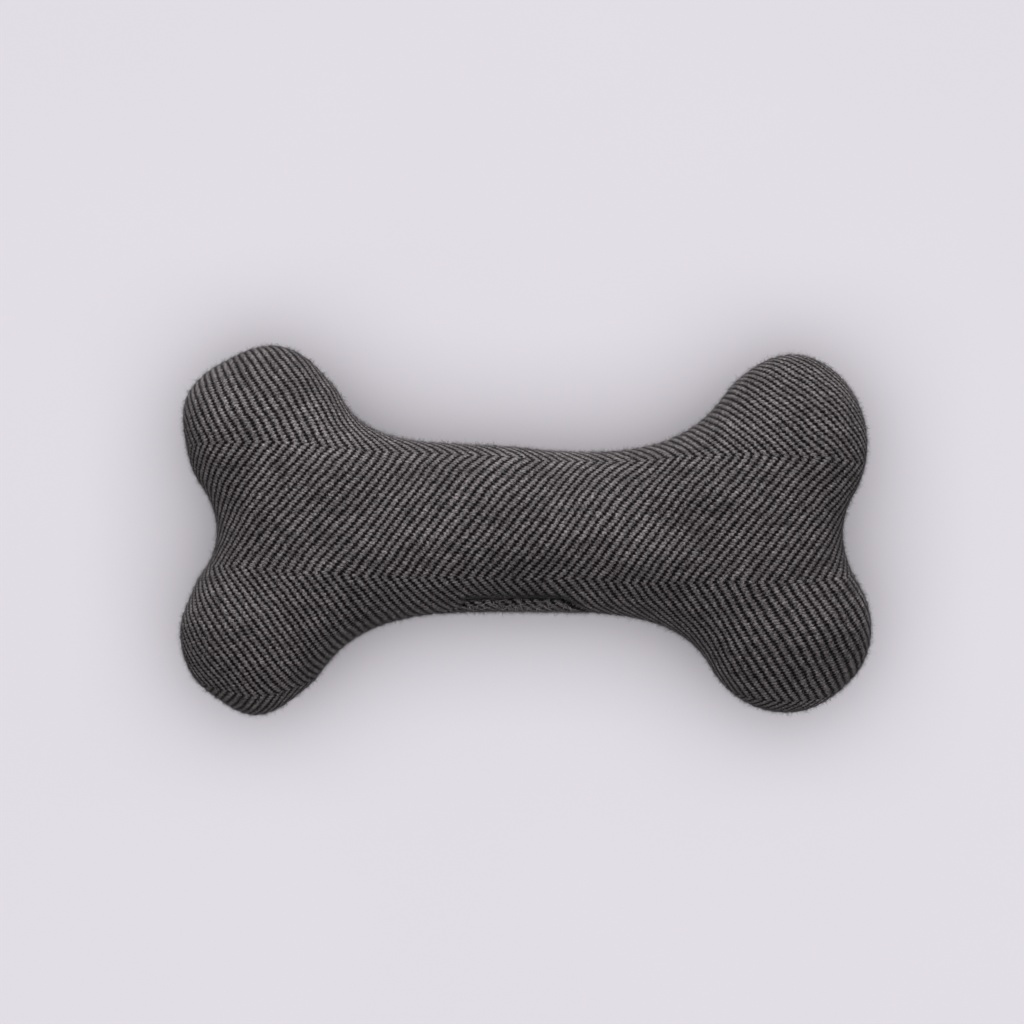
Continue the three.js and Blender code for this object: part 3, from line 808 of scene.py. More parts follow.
@dataclass(frozen=True)
class Moulded:
    """Moulded plastic with a slight mottle and fine tooling marks."""

    name: str
    colour: tuple
    roughness: float
    milkiness: float = 0.0
    milky_depth: float = 0.002
    clouds: Mottle = Mottle(240.0, 0.92, 1.06, 3.0)
    rough_scale: float = 1500.0
    rough_shares: tuple = (0.85, 1.2)
    bump_scale: float = 3200.0
    bump_height: float = 0.00003
    bump_strength: float = 0.5

    def make(self) -> bpy.types.Material:
        """The plastic's material.

        Returns:
            The material.
        """
        p = Pattern(self.name)
        place = p.object_place()
        clouds = p.mottled(place, self.clouds)
        smooth, rough = (self.roughness * share for share in self.rough_shares)
        marks = p.noise(place, self.bump_scale)
        return p.surface(
            Base_Color=p.scaled_colour(self.colour, clouds),
            Roughness=p.mottled(place, Mottle(self.rough_scale, smooth, rough)),
            Normal=p.bump(marks, self.bump_height, self.bump_strength),
            Subsurface_Weight=self.milkiness, Subsurface_Scale=self.milky_depth,
        )


@dataclass(frozen=True)
class PaleTop:
    """The plain pale surface that the toy lies on, darker to the toy than to the camera."""

    seen: tuple = (0.938, 0.901, 0.966, 1.0)
    lit: tuple = (0.2, 0.194, 0.2, 1.0)
    clouds: Mottle = Mottle(9.0, 0.995, 1.005)

    def make(self) -> bpy.types.Material:
        """The surface's material, with a barely seen mottle.

        Returns:
            The material.
        """
        p = Pattern("pale_top")
        clouds = p.mottled(p.object_place(), self.clouds)
        path = p.nodes.new("ShaderNodeLightPath")
        colour = p.colour_mix(path.outputs["Is Camera Ray"], self.lit, self.seen)
        return p.surface(
            Base_Color=p.scaled_colour(colour, clouds), Roughness=0.9, Specular_IOR_Level=0.0,
        )


# The stuffed form


@dataclass(frozen=True)
class Knob:
    """One rounded corner of the outline, an elliptical arc, in millimetres and degrees."""

    x: float
    y: float
    along: float
    across: float
    start: float
    end: float

    def at(self, degrees: float | np.ndarray) -> np.ndarray:
        """Points of the arc.

        Args:
            degrees: Angle of each point.

        Returns:
            The points.
        """
        turn = np.radians(degrees)
        along, across = self.along * np.cos(turn), self.across * np.sin(turn)
        return np.stack([self.x + along, self.y + across], axis=-1)

    def arc(self) -> np.ndarray:
        """Points from the start of the arc to its end."""
        return self.at(np.linspace(self.start, self.end, CURVE_POINTS))

    def heading(self, degrees: float) -> np.ndarray:
        """Direction of the arc at an angle."""
        turn = math.radians(degrees)
        return unit(np.array([-self.along * math.sin(turn), self.across * math.cos(turn)]))


@dataclass(frozen=True)
class Swell:
    """A place on a knob where the filling pushes the cloth out, or leaves it slack."""

    knob: Knob
    degrees: float
    reach: float
    rise: float


@dataclass
class BoneForm:
    """The form that cloth, seams and filling share, in millimetres about its seam plane."""

    left_upper: Knob = Knob(-78.9, 29.9, 25.0, 26.0, 26, 218)
    left_lower: Knob = Knob(-81.9, -30.4, 22.9, 25.2, 136, 327)
    right_lower: Knob = Knob(79.1, -29.6, 25.7, 25.6, 209, 392)
    right_upper: Knob = Knob(79.9, 26.2, 23.7, 27.0, -34, 145)
    upper_edge: float = 24.9
    lower_edge: float = 24.5
    upper_slope: float = 0.11
    lower_slope: float = -0.01
    fork_reach: float = 62.0
    knob_handle: float = 0.34
    shaft_handle: float = 0.44
    notch_handle: float = 0.38
    shaft_crown: float = 22.0
    fork_crown: float = 24.2
    knob_crown: float = 20.8
    cloth: float = 1.3
    allowance: float = 7.0
    seam_drop: float = 2.0
    crease_rise: float = 8.5
    crease_left: float = 15.0
    crease_right: float = 9.0
    crease_ease: float = 17.0
    pull_in_front: float = 1.8
    pull_in_back: float = 0.75
    pull_down: float = 3.0
    pull_flat: float = 1.4
    pull_ease: float = 2.6
    pull_eases: float = 2.5
    pull_least: float = 0.02
    open_left: float = 17.0
    open_right: float = 10.0
    open_start: float = 3.0
    open_end: float = 12.0
    open_least: float = 0.72
    closure_left: float = 24.0
    closure_right: float = 14.0
    seam_half_gap: float = 0.15
    crease_half_gap: float = 0.8
    rest_depth: float = 23.567
    pitch: float = 0.45
    crest_pull: int = 6
    crest_ease: float = 12.7
    crest_degrees: float = 89.2
    crest_merge: float = 1e-7
    limb_steps: int = 12
    knobs: list = field(init=False)
    swells: list = field(init=False)

    def __post_init__(self) -> None:
        """Draws the outline and finds the crest above each of its points."""
        self.knobs = [self.right_upper, self.left_upper, self.left_lower, self.right_lower]
        self.swells = [
            Swell(self.left_upper, 45, 6.0, -0.9),
            Swell(self.left_upper, 80, 6.0, 0.35),
            Swell(self.left_upper, 117, 8.5, -1.1),
            Swell(self.left_upper, 157, 8.0, 1.1),
            Swell(self.left_upper, 190, 8.5, -0.7),
            Swell(self.left_lower, 155, 6.5, -1.0),
            Swell(self.left_lower, 238, 7.0, -1.0),
            Swell(self.left_lower, 270, 6.0, 0.45),
            Swell(self.left_lower, 305, 8.0, -1.3),
            Swell(self.right_lower, 309, 9.0, -0.7),
            Swell(self.right_upper, 80, 6.0, 0.35),
            Swell(self.right_upper, 123, 9.0, -0.9),
        ]
        self.edge = self._swelled(evened(self._outline(), self.pitch))
        self.foot = eased(self._crest_feet(), self.crest_ease, self.pitch)
        gap = self.edge - self.foot
        self.reach = np.linalg.norm(gap, axis=1)
        self.outward = gap / self.reach[:, None]
        self.crown = self.crown_at(self.foot[:, 0])
        self.crease = self._crease()
        self.opening = self._opening()
        height = mix(-self.seam_drop, self.crease_rise, self.crease)
        self.seam_angle = np.arcsin(height / self.crown)
        self.half_gap = mix(self.seam_half_gap, self.crease_half_gap, self.crease)
        self.seam = self.beside_seam(0.0, 0.0)
        low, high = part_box("squeaker_bulb")
        middle = (low + high) / 2.0
        self.origin = np.array([middle.x, middle.y, self.rest_depth * MILLIMETRE])

    def placed(self, points: np.ndarray) -> np.ndarray:
        """The form's millimetres as metres in the toy's frame."""
        return points * MILLIMETRE + self.origin

    def crown_at(self, x: np.ndarray) -> np.ndarray:
        """Half thickness of the form over a place along the bone.

        Args:
            x: Places along the bone.

        Returns:
            The half thickness at each place.
        """
        reach = np.abs(x)
        to_fork = smooth_step(reach, self.fork_reach / 2.0, self.fork_reach)
        knob_reach = (self.right_upper.x + self.right_lower.x) / 2.0
        to_knob = smooth_step(reach, self.fork_reach, knob_reach)
        return (
            self.shaft_crown
            + (self.fork_crown - self.shaft_crown) * to_fork
            + (self.knob_crown - self.fork_crown) * to_knob
        )

    def section(self, angle: np.ndarray, inset: float) -> np.ndarray:
        """Points of the elliptical sections.

        Args:
            angle: Angle above the seam plane, one or more for each outline point.
            inset: Distance inside the cloth's outer face.

        Returns:
            A point for each angle.
        """
        out = (self.reach - inset) * np.cos(angle)
        height = (self.crown - inset) * np.sin(angle)
        return self._in_space(out, height)

    def beside_seam(self, depth: float | np.ndarray, along: float | np.ndarray) -> np.ndarray:
        """Points near the seam line.

        Args:
            depth: Distance into the toy.
            along: Distance from the seam line towards the front.

        Returns:
            A point for each outline point.
        """
        angle = self.seam_angle
        slope = unit(
            np.stack([-self.reach * np.sin(angle), self.crown * np.cos(angle)], axis=1)
        )
        out = self.reach * np.cos(angle) - depth * slope[:, 1] + along * slope[:, 0]
        height = self.crown * np.sin(angle) + depth * slope[:, 0] + along * slope[:, 1]
        return self._in_space(out, height)

    def pulled(
        self, points: np.ndarray, frontness: float | np.ndarray,
        places: np.ndarray | slice = slice(None),
    ) -> np.ndarray:
        """Draws points near the hand-sewn seam in and down, as its thread does.

        Args:
            points: The points, the last but one axis running round the outline.
            frontness: One for the front cloth and nothing for the back cloth.
            places: Outline points that the points belong to.

        Returns:
            The moved points.
        """
        gap = np.linalg.norm(points - self.seam[places], axis=-1) - self.pull_flat
        near = np.exp(-((np.maximum(gap, 0.0) / self.pull_ease) ** 2))
        amount = near * self.opening[places]
        inward = amount * mix(self.pull_in_back, self.pull_in_front, frontness)
        moved = points.copy()
        moved[..., :2] -= self.outward[places] * inward[..., None]
        moved[..., 2] -= amount * self.pull_down * frontness
        return moved

    def pulled_loose(self, points: np.ndarray) -> np.ndarray:
        """Draws loose points in as the cloth beside them.

        Args:
            points: Points anywhere in the toy.

        Returns:
            The moved points.
        """
        chosen = np.flatnonzero(self.opening > self.pull_least)
        reach = self.pull_flat + self.pull_eases * self.pull_ease
        low = self.seam[chosen].min(axis=0) - reach
        high = self.seam[chosen].max(axis=0) + reach
        near = np.flatnonzero(np.all((points > low) & (points < high), axis=1))
        gap = np.linalg.norm(points[near, None] - self.seam[None, chosen], axis=2)
        places = chosen[gap.argmin(axis=1)]
        above = points[near, 2] - self.seam[places, 2]
        frontness = smooth_step(above, -self.pull_flat / 2.0, self.pull_flat / 2.0)
        moved = points.copy()
        moved[near] = self.pulled(points[near], frontness, places)
        return moved

    def skin_start(self, side: Side) -> np.ndarray:
        """Angle at which the outer face ends and the turned edge begins.

        Args:
            side: Which panel.

        Returns:
            The angle at each outline point.
        """
        angle = self.seam_angle
        speed = np.hypot(self.reach * np.sin(angle), self.crown * np.cos(angle))
        return angle + side.value * (self.half_gap + self.cloth) / speed

    def crest_angle(self, side: Side) -> float:
        """Angle of the last ring below the crest."""
        return side.value * math.radians(self.crest_degrees)

    def crest_faces(self, start: int, flips: bool) -> list:
        """Faces that close the narrow strip along the crest.

        Args:
            start: Number of the last ring's first corner.
            flips: Whether the faces turn the other way.

        Returns:
            Corner numbers of each triangle.
        """
        ring = self.section(self.crest_angle(Side.FRONT), 0.0)[:, :2]
        corners = [Vector(point) for point in ring.tolist()]
        around = list(range(len(corners)))
        found = geometry.delaunay_2d_cdt(corners, [], [around], 1, self.crest_merge)
        names = [origin[0] for origin in found[3]]
        order = -1 if flips else 1
        return [[start + names[corner] for corner in face][::order] for face in found[2]]

    def _in_space(self, out: np.ndarray, height: np.ndarray) -> np.ndarray:
        """Points from a distance out and a height."""
        flat = self.foot + self.outward * out[..., None]
        return np.concatenate([flat, height[..., None]], axis=-1)

    def _outline(self) -> np.ndarray:
        """The outline as the four knobs, the two shaft edges and the two notches.

        Returns:
            Points in order round the toy.
        """
        upper, left, lower, right = self.knobs
        leftward = unit(np.array([-1.0, self.upper_slope]))
        rightward = unit(np.array([1.0, self.lower_slope]))
        parts = [
            upper.arc(),
            self._shaft_edge(upper, left, self.upper_edge, leftward),
            left.arc(),
            self._notch(left, lower),
            lower.arc(),
            self._shaft_edge(lower, right, -self.lower_edge, rightward),
            right.arc(),
            self._notch(right, upper),
        ]
        return np.vstack([part[:-1] for part in parts])

    def _joining(
        self, start: np.ndarray, go: np.ndarray, end: np.ndarray, come: np.ndarray,
        first: float, second: float,
    ) -> np.ndarray:
        """A curve between two points that keeps a direction at each end.

        Args:
            start: First point.
            go: Direction there.
            end: Last point.
            come: Direction there.
            first: Handle at the start, as a share of the chord.
            second: Handle at the end, as a share of the chord.

        Returns:
            Points of the curve.
        """
        chord = np.linalg.norm(end - start)
        share = np.linspace(0.0, 1.0, CURVE_POINTS)[:, None]
        rest = 1.0 - share
        near, far = start + go * chord * first, end - come * chord * second
        return (
            rest**3 * start + 3.0 * rest**2 * share * near
            + 3.0 * rest * share**2 * far + share**3 * end
        )

    def _shaft_edge(self, before: Knob, after: Knob, middle: float, way: np.ndarray) -> np.ndarray:
        """One long edge of the shaft.

        Args:
            before: Knob at the start.
            after: Knob at the end.
            middle: Height of the edge halfway.
            way: Direction of the edge halfway.

        Returns:
            Points of the edge.
        """
        centre = np.array([0.0, middle])
        start, end = before.arc()[-1], after.arc()[0]
        go, come = before.heading(before.end), after.heading(after.start)
        shares = (self.knob_handle, self.shaft_handle)
        first = self._joining(start, go, centre, way, *shares)
        second = self._joining(centre, way, end, come, *shares[::-1])
        return np.vstack([first, second[1:]])

    def _notch(self, before: Knob, after: Knob) -> np.ndarray:
        """The hollow between the two knobs of one end.

        Args:
            before: Knob at the start.
            after: Knob at the end.

        Returns:
            Points of the hollow.
        """
        go, come = before.heading(before.end), after.heading(after.start)
        shares = (self.notch_handle, self.notch_handle)
        return self._joining(before.arc()[-1], go, after.arc()[0], come, *shares)

    def _swelled(self, edge: np.ndarray) -> np.ndarray:
        """The outline pushed straight out and in by the swells.

        Args:
            edge: Points of the outline.

        Returns:
            The moved points.
        """
        heading = unit(np.roll(edge, -1, axis=0) - np.roll(edge, 1, axis=0))
        outward = np.stack([heading[:, 1], -heading[:, 0]], axis=1)
        rise = np.zeros(len(edge))
        for swell in self.swells:
            apart = np.linalg.norm(edge - swell.knob.at(swell.degrees), axis=1)
            rise += swell.rise * np.exp(-((apart / swell.reach) ** 2))
        return edge + outward * rise[:, None]

    def _crest_feet(self) -> np.ndarray:
        """Mean of the bone's middle lines for each outline point, the near ones counting most.

        Returns:
            A place below the crest for each outline point.
        """
        left, right = np.array([-self.fork_reach, 0.0]), np.array([self.fork_reach, 0.0])
        limbs = [(left, right)]
        for knob in self.knobs:
            limbs.append((left if knob.x < 0 else right, np.array([knob.x, knob.y])))
        share = np.linspace(0.0, 1.0, self.limb_steps + 1)[:, None]
        middle = np.vstack([mix(start, end, share) for start, end in limbs])
        apart = np.linalg.norm(self.edge[:, None] - middle[None], axis=2)
        weight = (self.shaft_crown / apart) ** self.crest_pull
        return weight @ middle / weight.sum(axis=1, keepdims=True)

    def in_closure(self) -> np.ndarray:
        """Whether each outline point lies along the hand-sewn closure.

        Returns:
            A truth value for each outline point.
        """
        x, y = self.edge[:, 0], self.edge[:, 1]
        return (y < 0) & (x > -self.closure_left) & (x < self.closure_right)

    def _on_lower_edge(
        self, left: float, left_ease: float, right: float, right_ease: float
    ) -> np.ndarray:
        """One along a stretch of the lower edge, which fades out at both of its ends.

        Args:
            left: Reach to the left.
            left_ease: Length of the fading beyond it.
            right: Reach to the right.
            right_ease: Length of the fading beyond it.

        Returns:
            A share at each outline point.
        """
        x, y = self.edge[:, 0], self.edge[:, 1]
        rising = smooth_step(x, -left - left_ease, -left)
        falling = smooth_step(x, right, right + right_ease)
        return np.where(y < 0.0, rising * (1.0 - falling), 0.0)

    def _crease(self) -> np.ndarray:
        """How far the hand sewing draws the seam up, from 0 to 1."""
        ease = self.crease_ease
        return self._on_lower_edge(self.crease_left, ease, self.crease_right, ease)

    def _opening(self) -> np.ndarray:
        """How far the hand-sewn seam gapes, from 0 to 1, most to the right of its middle.

        Returns:
            The share at each outline point.
        """
        stretch = self._on_lower_edge(
            self.open_left, self.open_start, self.open_right, self.open_end
        )
        rightness = smooth_step(self.edge[:, 0], -self.open_left / 2.0, 0.0)
        return stretch * mix(self.open_least, 1.0, rightness)


# The cover, the threads and the wool


@dataclass
class Swelling:
    """Blows the cloth up on a coarse copy of the form, as the filling does."""

    voxel: float = 0.0045
    pressure: float = 4.0
    last_frame: int = 20
    shrink: float = 0.985
    furthest: float = 0.0025
    held_height: float = 0.004
    held_least: float = 0.01
    neighbours: int = 6
    neighbour_floor: float = 0.0015
    quality: int = 5
    mass: float = 0.25
    tension: float = 25.0
    compression: float = 12.0
    bending: float = 1.0

    def moves(self, points: np.ndarray, faces: list, wanted: np.ndarray) -> np.ndarray:
        """Simulates the swelling.

        Args:
            points: Corners of the coarse closed form, in metres.
            faces: Its faces.
            wanted: Places whose movement is wanted, in metres.

        Returns:
            The movement of each wanted place.
        """
        middle = points[:, 2].mean()
        small = points.copy()
        small[:, 2] = middle + (small[:, 2] - middle) * self.shrink
        body = make_piece("swelling_form", small, faces)
        mesh_evenly(body, self.voxel)
        start = corner_rows(body.data)
        self._hold_seam(body, start, middle)
        self._blow_up(body)
        moved = corner_rows(body.data) - start
        length = np.linalg.norm(moved, axis=1, keepdims=True)
        moved *= np.minimum(1.0, self.furthest / np.maximum(length, TINY))
        moved[:, 2] += (start[:, 2] - middle) * (1.0 - 1.0 / self.shrink)
        bpy.data.objects.remove(body)
        return self._near(start, moved, wanted)

    def _blow_up(self, body: bpy.types.Object) -> None:
        """Runs the cloth simulation under pressure and keeps its last step.

        Args:
            body: The body, with its held corners in their group.
        """
        cloth = body.modifiers.new("cloth", "CLOTH")
        cloth.settings.quality = self.quality
        cloth.settings.mass = self.mass
        cloth.settings.tension_stiffness = self.tension
        cloth.settings.compression_stiffness = self.compression
        cloth.settings.bending_stiffness = self.bending
        cloth.settings.use_pressure = True
        cloth.settings.uniform_pressure_force = self.pressure
        cloth.settings.vertex_group_mass = HELD
        cloth.settings.effector_weights.gravity = 0.0
        cloth.point_cache.frame_end = self.last_frame
        scene = bpy.context.scene
        for step in range(1, self.last_frame + 1):
            scene.frame_set(step)
        apply_modifier(body, cloth)
        scene.frame_set(1)

    def _hold_seam(self, body: bpy.types.Object, corners: np.ndarray, middle: float) -> None:
        """Pins the cloth beside the seam, so that the outline stays.

        Args:
            body: The body.
            corners: Its corners.
            middle: Height of the seam.
        """
        group = body.vertex_groups.new(name=HELD)
        apart = np.abs(corners[:, 2] - middle)
        near = 1.0 - smooth_step(apart, self.held_height, self.held_height * 2.0)
        for corner in np.flatnonzero(near > self.held_least).tolist():
            group.add([corner], float(near[corner]), "REPLACE")

    def _near(self, start: np.ndarray, moved: np.ndarray, wanted: np.ndarray) -> np.ndarray:
        """Movement at the wanted places, a mean of the nearest simulated ones.

        Args:
            start: Simulated corners before they moved.
            moved: Their movement.
            wanted: Places whose movement is wanted.

        Returns:
            The movement of each wanted place.
        """
        tree = kdtree.KDTree(len(start))
        for number, corner in enumerate(start.tolist()):
            tree.insert(corner, number)
        tree.balance()
        result = np.zeros_like(wanted)
        for number, place in enumerate(wanted.tolist()):
            near = tree.find_n(place, self.neighbours)
            weight = np.array([1.0 / (item[2] + self.neighbour_floor) ** 2 for item in near])
            result[number] = weight @ moved[[item[1] for item in near]] / weight.sum()
        return result


@dataclass
class TweedCover:
    """The two cloth panels, with their edges turned in along the seam."""

    form: BoneForm
    tweed: Tweed = Tweed()
    swelling: Swelling = field(default_factory=Swelling)
    outer_rings: int = 84
    fold_rings: int = 10
    inner_shares: tuple = (0.2, 0.4, 0.6, 0.8)
    rib_rise: float = 0.11
    fold_relief: float = 0.2
    lump_rise: float = 0.28
    lump_share: float = 0.5
    lump_lengths: tuple = (22.0, 9.0)
    lump_seeds: tuple = (21, 31)
    lump_heights: tuple = (0.1, 0.8)
    upper_lean: tuple = (-0.203, 0.26)
    lower_lean: tuple = (0.054, -0.203)
    lean_reach: float = 50.0
    wander: tuple = (0.5, 34.0)
    wander_seeds: tuple = (11, 12)
    quiver: tuple = (0.12, 7.0)
    quiver_seeds: tuple = (13, 14)
    pucker: float = 0.12
    pucker_pitch: float = 3.2
    pucker_heights: tuple = (1.0, 5.0)
    floor_ease: float = 0.15
    coarse_step: int = 10
    coarse_rings: int = 13
    coarse_ease: float = 6.0
    # Where the painted seam shade starts and how far it fades, and over which share of the back's
    # fold it rises.
    painted_shade_start: float = 4.6
    painted_shade_reach: float = 1.7
    painted_shade_turn: tuple = (0.4, 0.85)
    lay_places: tuple = (-90.0, -76.0, -56.0, -40.0, 0.0, 35.0, 61.0, 90.0)
    lay_upper: tuple = (0.0, 0.0, 0.2, 0.5, 1.0, 2.4, 3.9, 5.2)
    lay_lower: tuple = (-3.1, -2.4, -0.1, 1.0, 1.2, 3.0, 1.9, 1.1)
    lay_ease: int = 10
    stretch: float = 0.0022
    stretch_start: float = 60.0

    @property
    def outer_corners(self) -> int:
        """Number of corners on one panel's outer face."""
        return self.outer_rings * len(self.form.edge)

    @property
    def lip_corners(self) -> int:
        """Number of corners on one panel's outer face and the near half of its fold."""
        return (self.outer_rings + self.fold_rings // 2) * len(self.form.edge)

    def build(self) -> list[bpy.types.Object]:
        """Makes both panels.

        Returns:
            The front and the back panel.
        """
        skins = {side: self._outer(side) for side in Side}
        self._swell(skins)
        material = self.tweed.make()
        return [self._panel(side, skins[side], material) for side in Side]

    def _outer(self, side: Side) -> np.ndarray:
        """Rings of the outer face from the crest to the turned edge.

        Args:
            side: Which panel.

        Returns:
            The rings, from the crest outwards.
        """
        form = self.form
        share = np.linspace(0.0, 1.0, self.outer_rings)[:, None]
        angle = mix(form.crest_angle(side), form.skin_start(side)[None], share)
        return form.section(angle, 0.0)

    def _swell(self, skins: dict) -> None:
        """Moves both outer faces as the simulation moves its coarse copy.

        Args:
            skins: The outer face of each side, changed in place.
        """
        step = self.coarse_step
        count = len(self.form.edge)
        columns = np.arange(0, count, step)
        rows = np.linspace(0, self.outer_rings - 1, self.coarse_rings).round().astype(int)
        coarse = {side: skins[side][rows][:, columns] for side in Side}
        rings = np.concatenate([coarse[Side.FRONT], coarse[Side.BACK][::-1]])
        points = self.form.placed(rings.reshape(-1, 3))
        faces = closed_ring_faces(len(rings), len(columns), flips=True)
        wanted = self.form.placed(np.concatenate([coarse[side] for side in Side]))
        moved = self.swelling.moves(points, faces, wanted.reshape(-1, 3)) / MILLIMETRE
        grids = moved.reshape(len(Side), len(rows), len(columns), 3)
        for side, grid in zip(Side, grids):
            skins[side] += self._fine(grid, rows, columns, count)

    def _fine(
        self, grid: np.ndarray, rows: np.ndarray, columns: np.ndarray, count: int
    ) -> np.ndarray:
        """Spreads a coarse grid of movements smoothly over the fine rings.

        Args:
            grid: Movements at the coarse points.
            rows: Rings of the coarse points.
            columns: Outline points of the coarse points.
            count: Number of outline points.

        Returns:
            A movement for every point.
        """
        down = np.arange(self.outer_rings)
        closed = np.concatenate([columns, [count]])
        around = np.arange(count)
        wide = np.zeros((len(rows), count, 3))
        fine = np.zeros((self.outer_rings, count, 3))
        for axis in range(3):
            for row in range(len(rows)):
                ring = np.append(grid[row, :, axis], grid[row, 0, axis])
                wide[row, :, axis] = np.interp(around, closed, ring)
            wide[:, :, axis] = eased(wide[:, :, axis].T, self.coarse_ease, self.form.pitch).T
            for place in range(count):
                fine[:, place, axis] = np.interp(down, rows, wide[:, place, axis])
        return fine

    def _turned(self, side: Side) -> np.ndarray:
        """Rings of the turned edge, from the outer face to the inner side of the fold.

        Args:
            side: Which panel.

        Returns:
            The rings.
        """
        form = self.form
        rings = []
        for share in np.linspace(0.0, 1.0, self.fold_rings + 1)[1:]:
            angle = share * math.pi
            depth = form.cloth * (1.0 - math.cos(angle))
            along = side.value * (form.half_gap + form.cloth * (1.0 - math.sin(angle)))
            rings.append(form.beside_seam(depth, along))
        return np.stack(rings)

    def _inner(self, side: Side) -> np.ndarray:
        """Rings of the seam allowance and the inner face.

        Args:
            side: Which panel.

        Returns:
            The rings, from the hem to the crest.
        """
        form = self.form
        hem = form.seam_angle + side.value * form.allowance / form.crown
        rings = [form.section(hem, form.cloth * 2.0), form.section(hem, form.cloth)]
        for share in (*self.inner_shares, 1.0):
            rings.append(form.section(mix(hem, form.crest_angle(side), share), form.cloth))
        return np.stack(rings)

    def _panel(
        self, side: Side, outer: np.ndarray, material: bpy.types.Material
    ) -> bpy.types.Object:
        """Makes one panel.

        Args:
            side: Which panel.
            outer: Rings of its outer face.
            material: The tweed.

        Returns:
            The finished piece.
        """
        form = self.form
        is_front = side is Side.FRONT
        shown = form.pulled(np.concatenate([outer, self._turned(side)]), float(is_front))
        inner = form.pulled(self._inner(side), float(is_front))
        # Painted shade in the seam and the fold, stored on the mesh for the material.
        tucked = self._tucked(shown, side)
        flat = self._flattened(shown)
        if not is_front:
            flat[..., 1] += self.tweed.ends_per_band * self.tweed.warp_pitch
        normal = self._normals(shown, side)
        shown = shown + normal * self._relief(shown, flat, side)[..., None]
        rings = np.concatenate([shown, inner])
        floor = np.full(len(rings), -form.rest_depth)
        floor[len(shown):] += form.cloth
        rings[..., 2] = self._rested(rings[..., 2], floor[:, None])
        flat = np.concatenate([flat, np.repeat(flat[-1:], len(inner), axis=0)])
        # The inner face is painted fully in shade.
        tucked = np.concatenate([tucked, np.ones(inner.shape[:2])])
        count = len(form.edge)
        faces = ring_faces(len(rings), count, flips=is_front)
        faces += form.crest_faces(0, flips=not is_front)
        faces += form.crest_faces((len(rings) - 1) * count, flips=is_front)
        name = f"tweed_{side.name.lower()}"
        piece = make_piece(name, form.placed(rings), faces, flat, tucked)
        piece.data.materials.append(material)
        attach(piece, TOY_BODY)
        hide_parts(f"{side.name.lower()}_panel")
        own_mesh(piece)
        return piece

    def _tucked(self, rings: np.ndarray, side: Side) -> np.ndarray:
        """How dark the cloth is painted in shade at the seam: over the turned edge, and on the
        front near the gaping closure.

        Args:
            rings: Rings of the outer face and the turned edge.
            side: Which panel they belong to.

        Returns:
            A share of painted shade for each point, from 0 in the open to 1 in the seam.
        """
        form = self.form
        depth = np.zeros(rings.shape[:2])
        turn = np.linspace(0.0, 1.0, self.fold_rings)[:, None]
        if side is Side.BACK:
            depth[self.outer_rings:] = smooth_step(turn, *self.painted_shade_turn)
            return depth
        depth[self.outer_rings:] = turn
        # On the front, the cloth near the gaping closure is painted in shade.
        gap = np.linalg.norm(rings - form.seam, axis=-1) - self.painted_shade_start
        near = np.exp(-((np.maximum(gap, 0.0) / self.painted_shade_reach) ** 2))
        return np.maximum(near * form.opening, depth)

    def _flattened(self, rings: np.ndarray) -> np.ndarray:
        """Place of each point in the flat cloth, by its distance over the form from the crest.

        Args:
            rings: Rings of the outer face and the turned edge.

        Returns:
            A place for each point, in millimetres of cloth.
        """
        form = self.form
        steps = np.linalg.norm(np.diff(rings, axis=0), axis=2)
        first = form.reach * math.cos(math.radians(form.crest_degrees))
        length = np.concatenate([first[None], first + np.cumsum(steps, axis=0)])
        flat = form.foot + form.outward * length[..., None]
        return self._laid(flat)

    def _laid(self, flat: np.ndarray) -> np.ndarray:
        """The cloth as it lies: it leans over the knobs and wanders a little.

        Args:
            flat: Places by distance from the crest.

        Returns:
            Places along and across the warp.
        """
        right = smooth_step(flat[..., 0], -self.lean_reach, self.lean_reach)
        start = self.tweed.band_start
        end = start + self.tweed.ends_per_band * self.tweed.warp_pitch
        height = smooth_step(flat[..., 1], start, end)
        lay = [self._lay(flat[..., 0], drops) for drops in (self.lay_lower, self.lay_upper)]
        across = flat[..., 1] + mix(*lay, height)
        upper = np.maximum(across - end, 0.0) * mix(*self.upper_lean, right)
        lower = np.minimum(across - start, 0.0) * mix(*self.lower_lean, right)
        space = np.concatenate([flat, np.zeros_like(flat[..., :1])], axis=-1)
        far = np.maximum(flat[..., 0] - self.stretch_start, 0.0)
        along = flat[..., 0] - self.stretch * far**2 + upper + lower
        wanders = ((self.wander, self.wander_seeds), (self.quiver, self.quiver_seeds))
        for (amount, length), (first, second) in wanders:
            along += amount * Wander(first, length).at(space)
            across += amount * Wander(second, length).at(space)
        return np.stack([along, across], axis=-1)

    def _lay(self, x: np.ndarray, drops: tuple) -> np.ndarray:
        """How far a line of chevrons lies below its straight place.

        Args:
            x: Places along the bone.
            drops: The drop at each of the lay's places.

        Returns:
            The drop at each place, without a bend at the lay's places.
        """
        reach = 3 * self.lay_ease
        furthest = self.form.right_lower.x + self.form.right_lower.along + reach
        places = np.arange(-furthest, furthest, 1.0)
        bell = np.exp(-0.5 * (np.arange(-reach, reach + 1) / self.lay_ease) ** 2)
        line = np.pad(np.interp(places, self.lay_places, drops), reach, mode="edge")
        line = np.convolve(line, bell / bell.sum(), mode="valid")
        return np.interp(x, places, line)

    def _normals(self, rings: np.ndarray, side: Side) -> np.ndarray:
        """Outward directions over the rings.

        Args:
            rings: The rings.
            side: Which panel they belong to.

        Returns:
            A direction for each point.
        """
        around = np.roll(rings, -1, axis=1) - np.roll(rings, 1, axis=1)
        down = np.gradient(rings, axis=0)
        return unit(np.cross(down, around)) * side.value

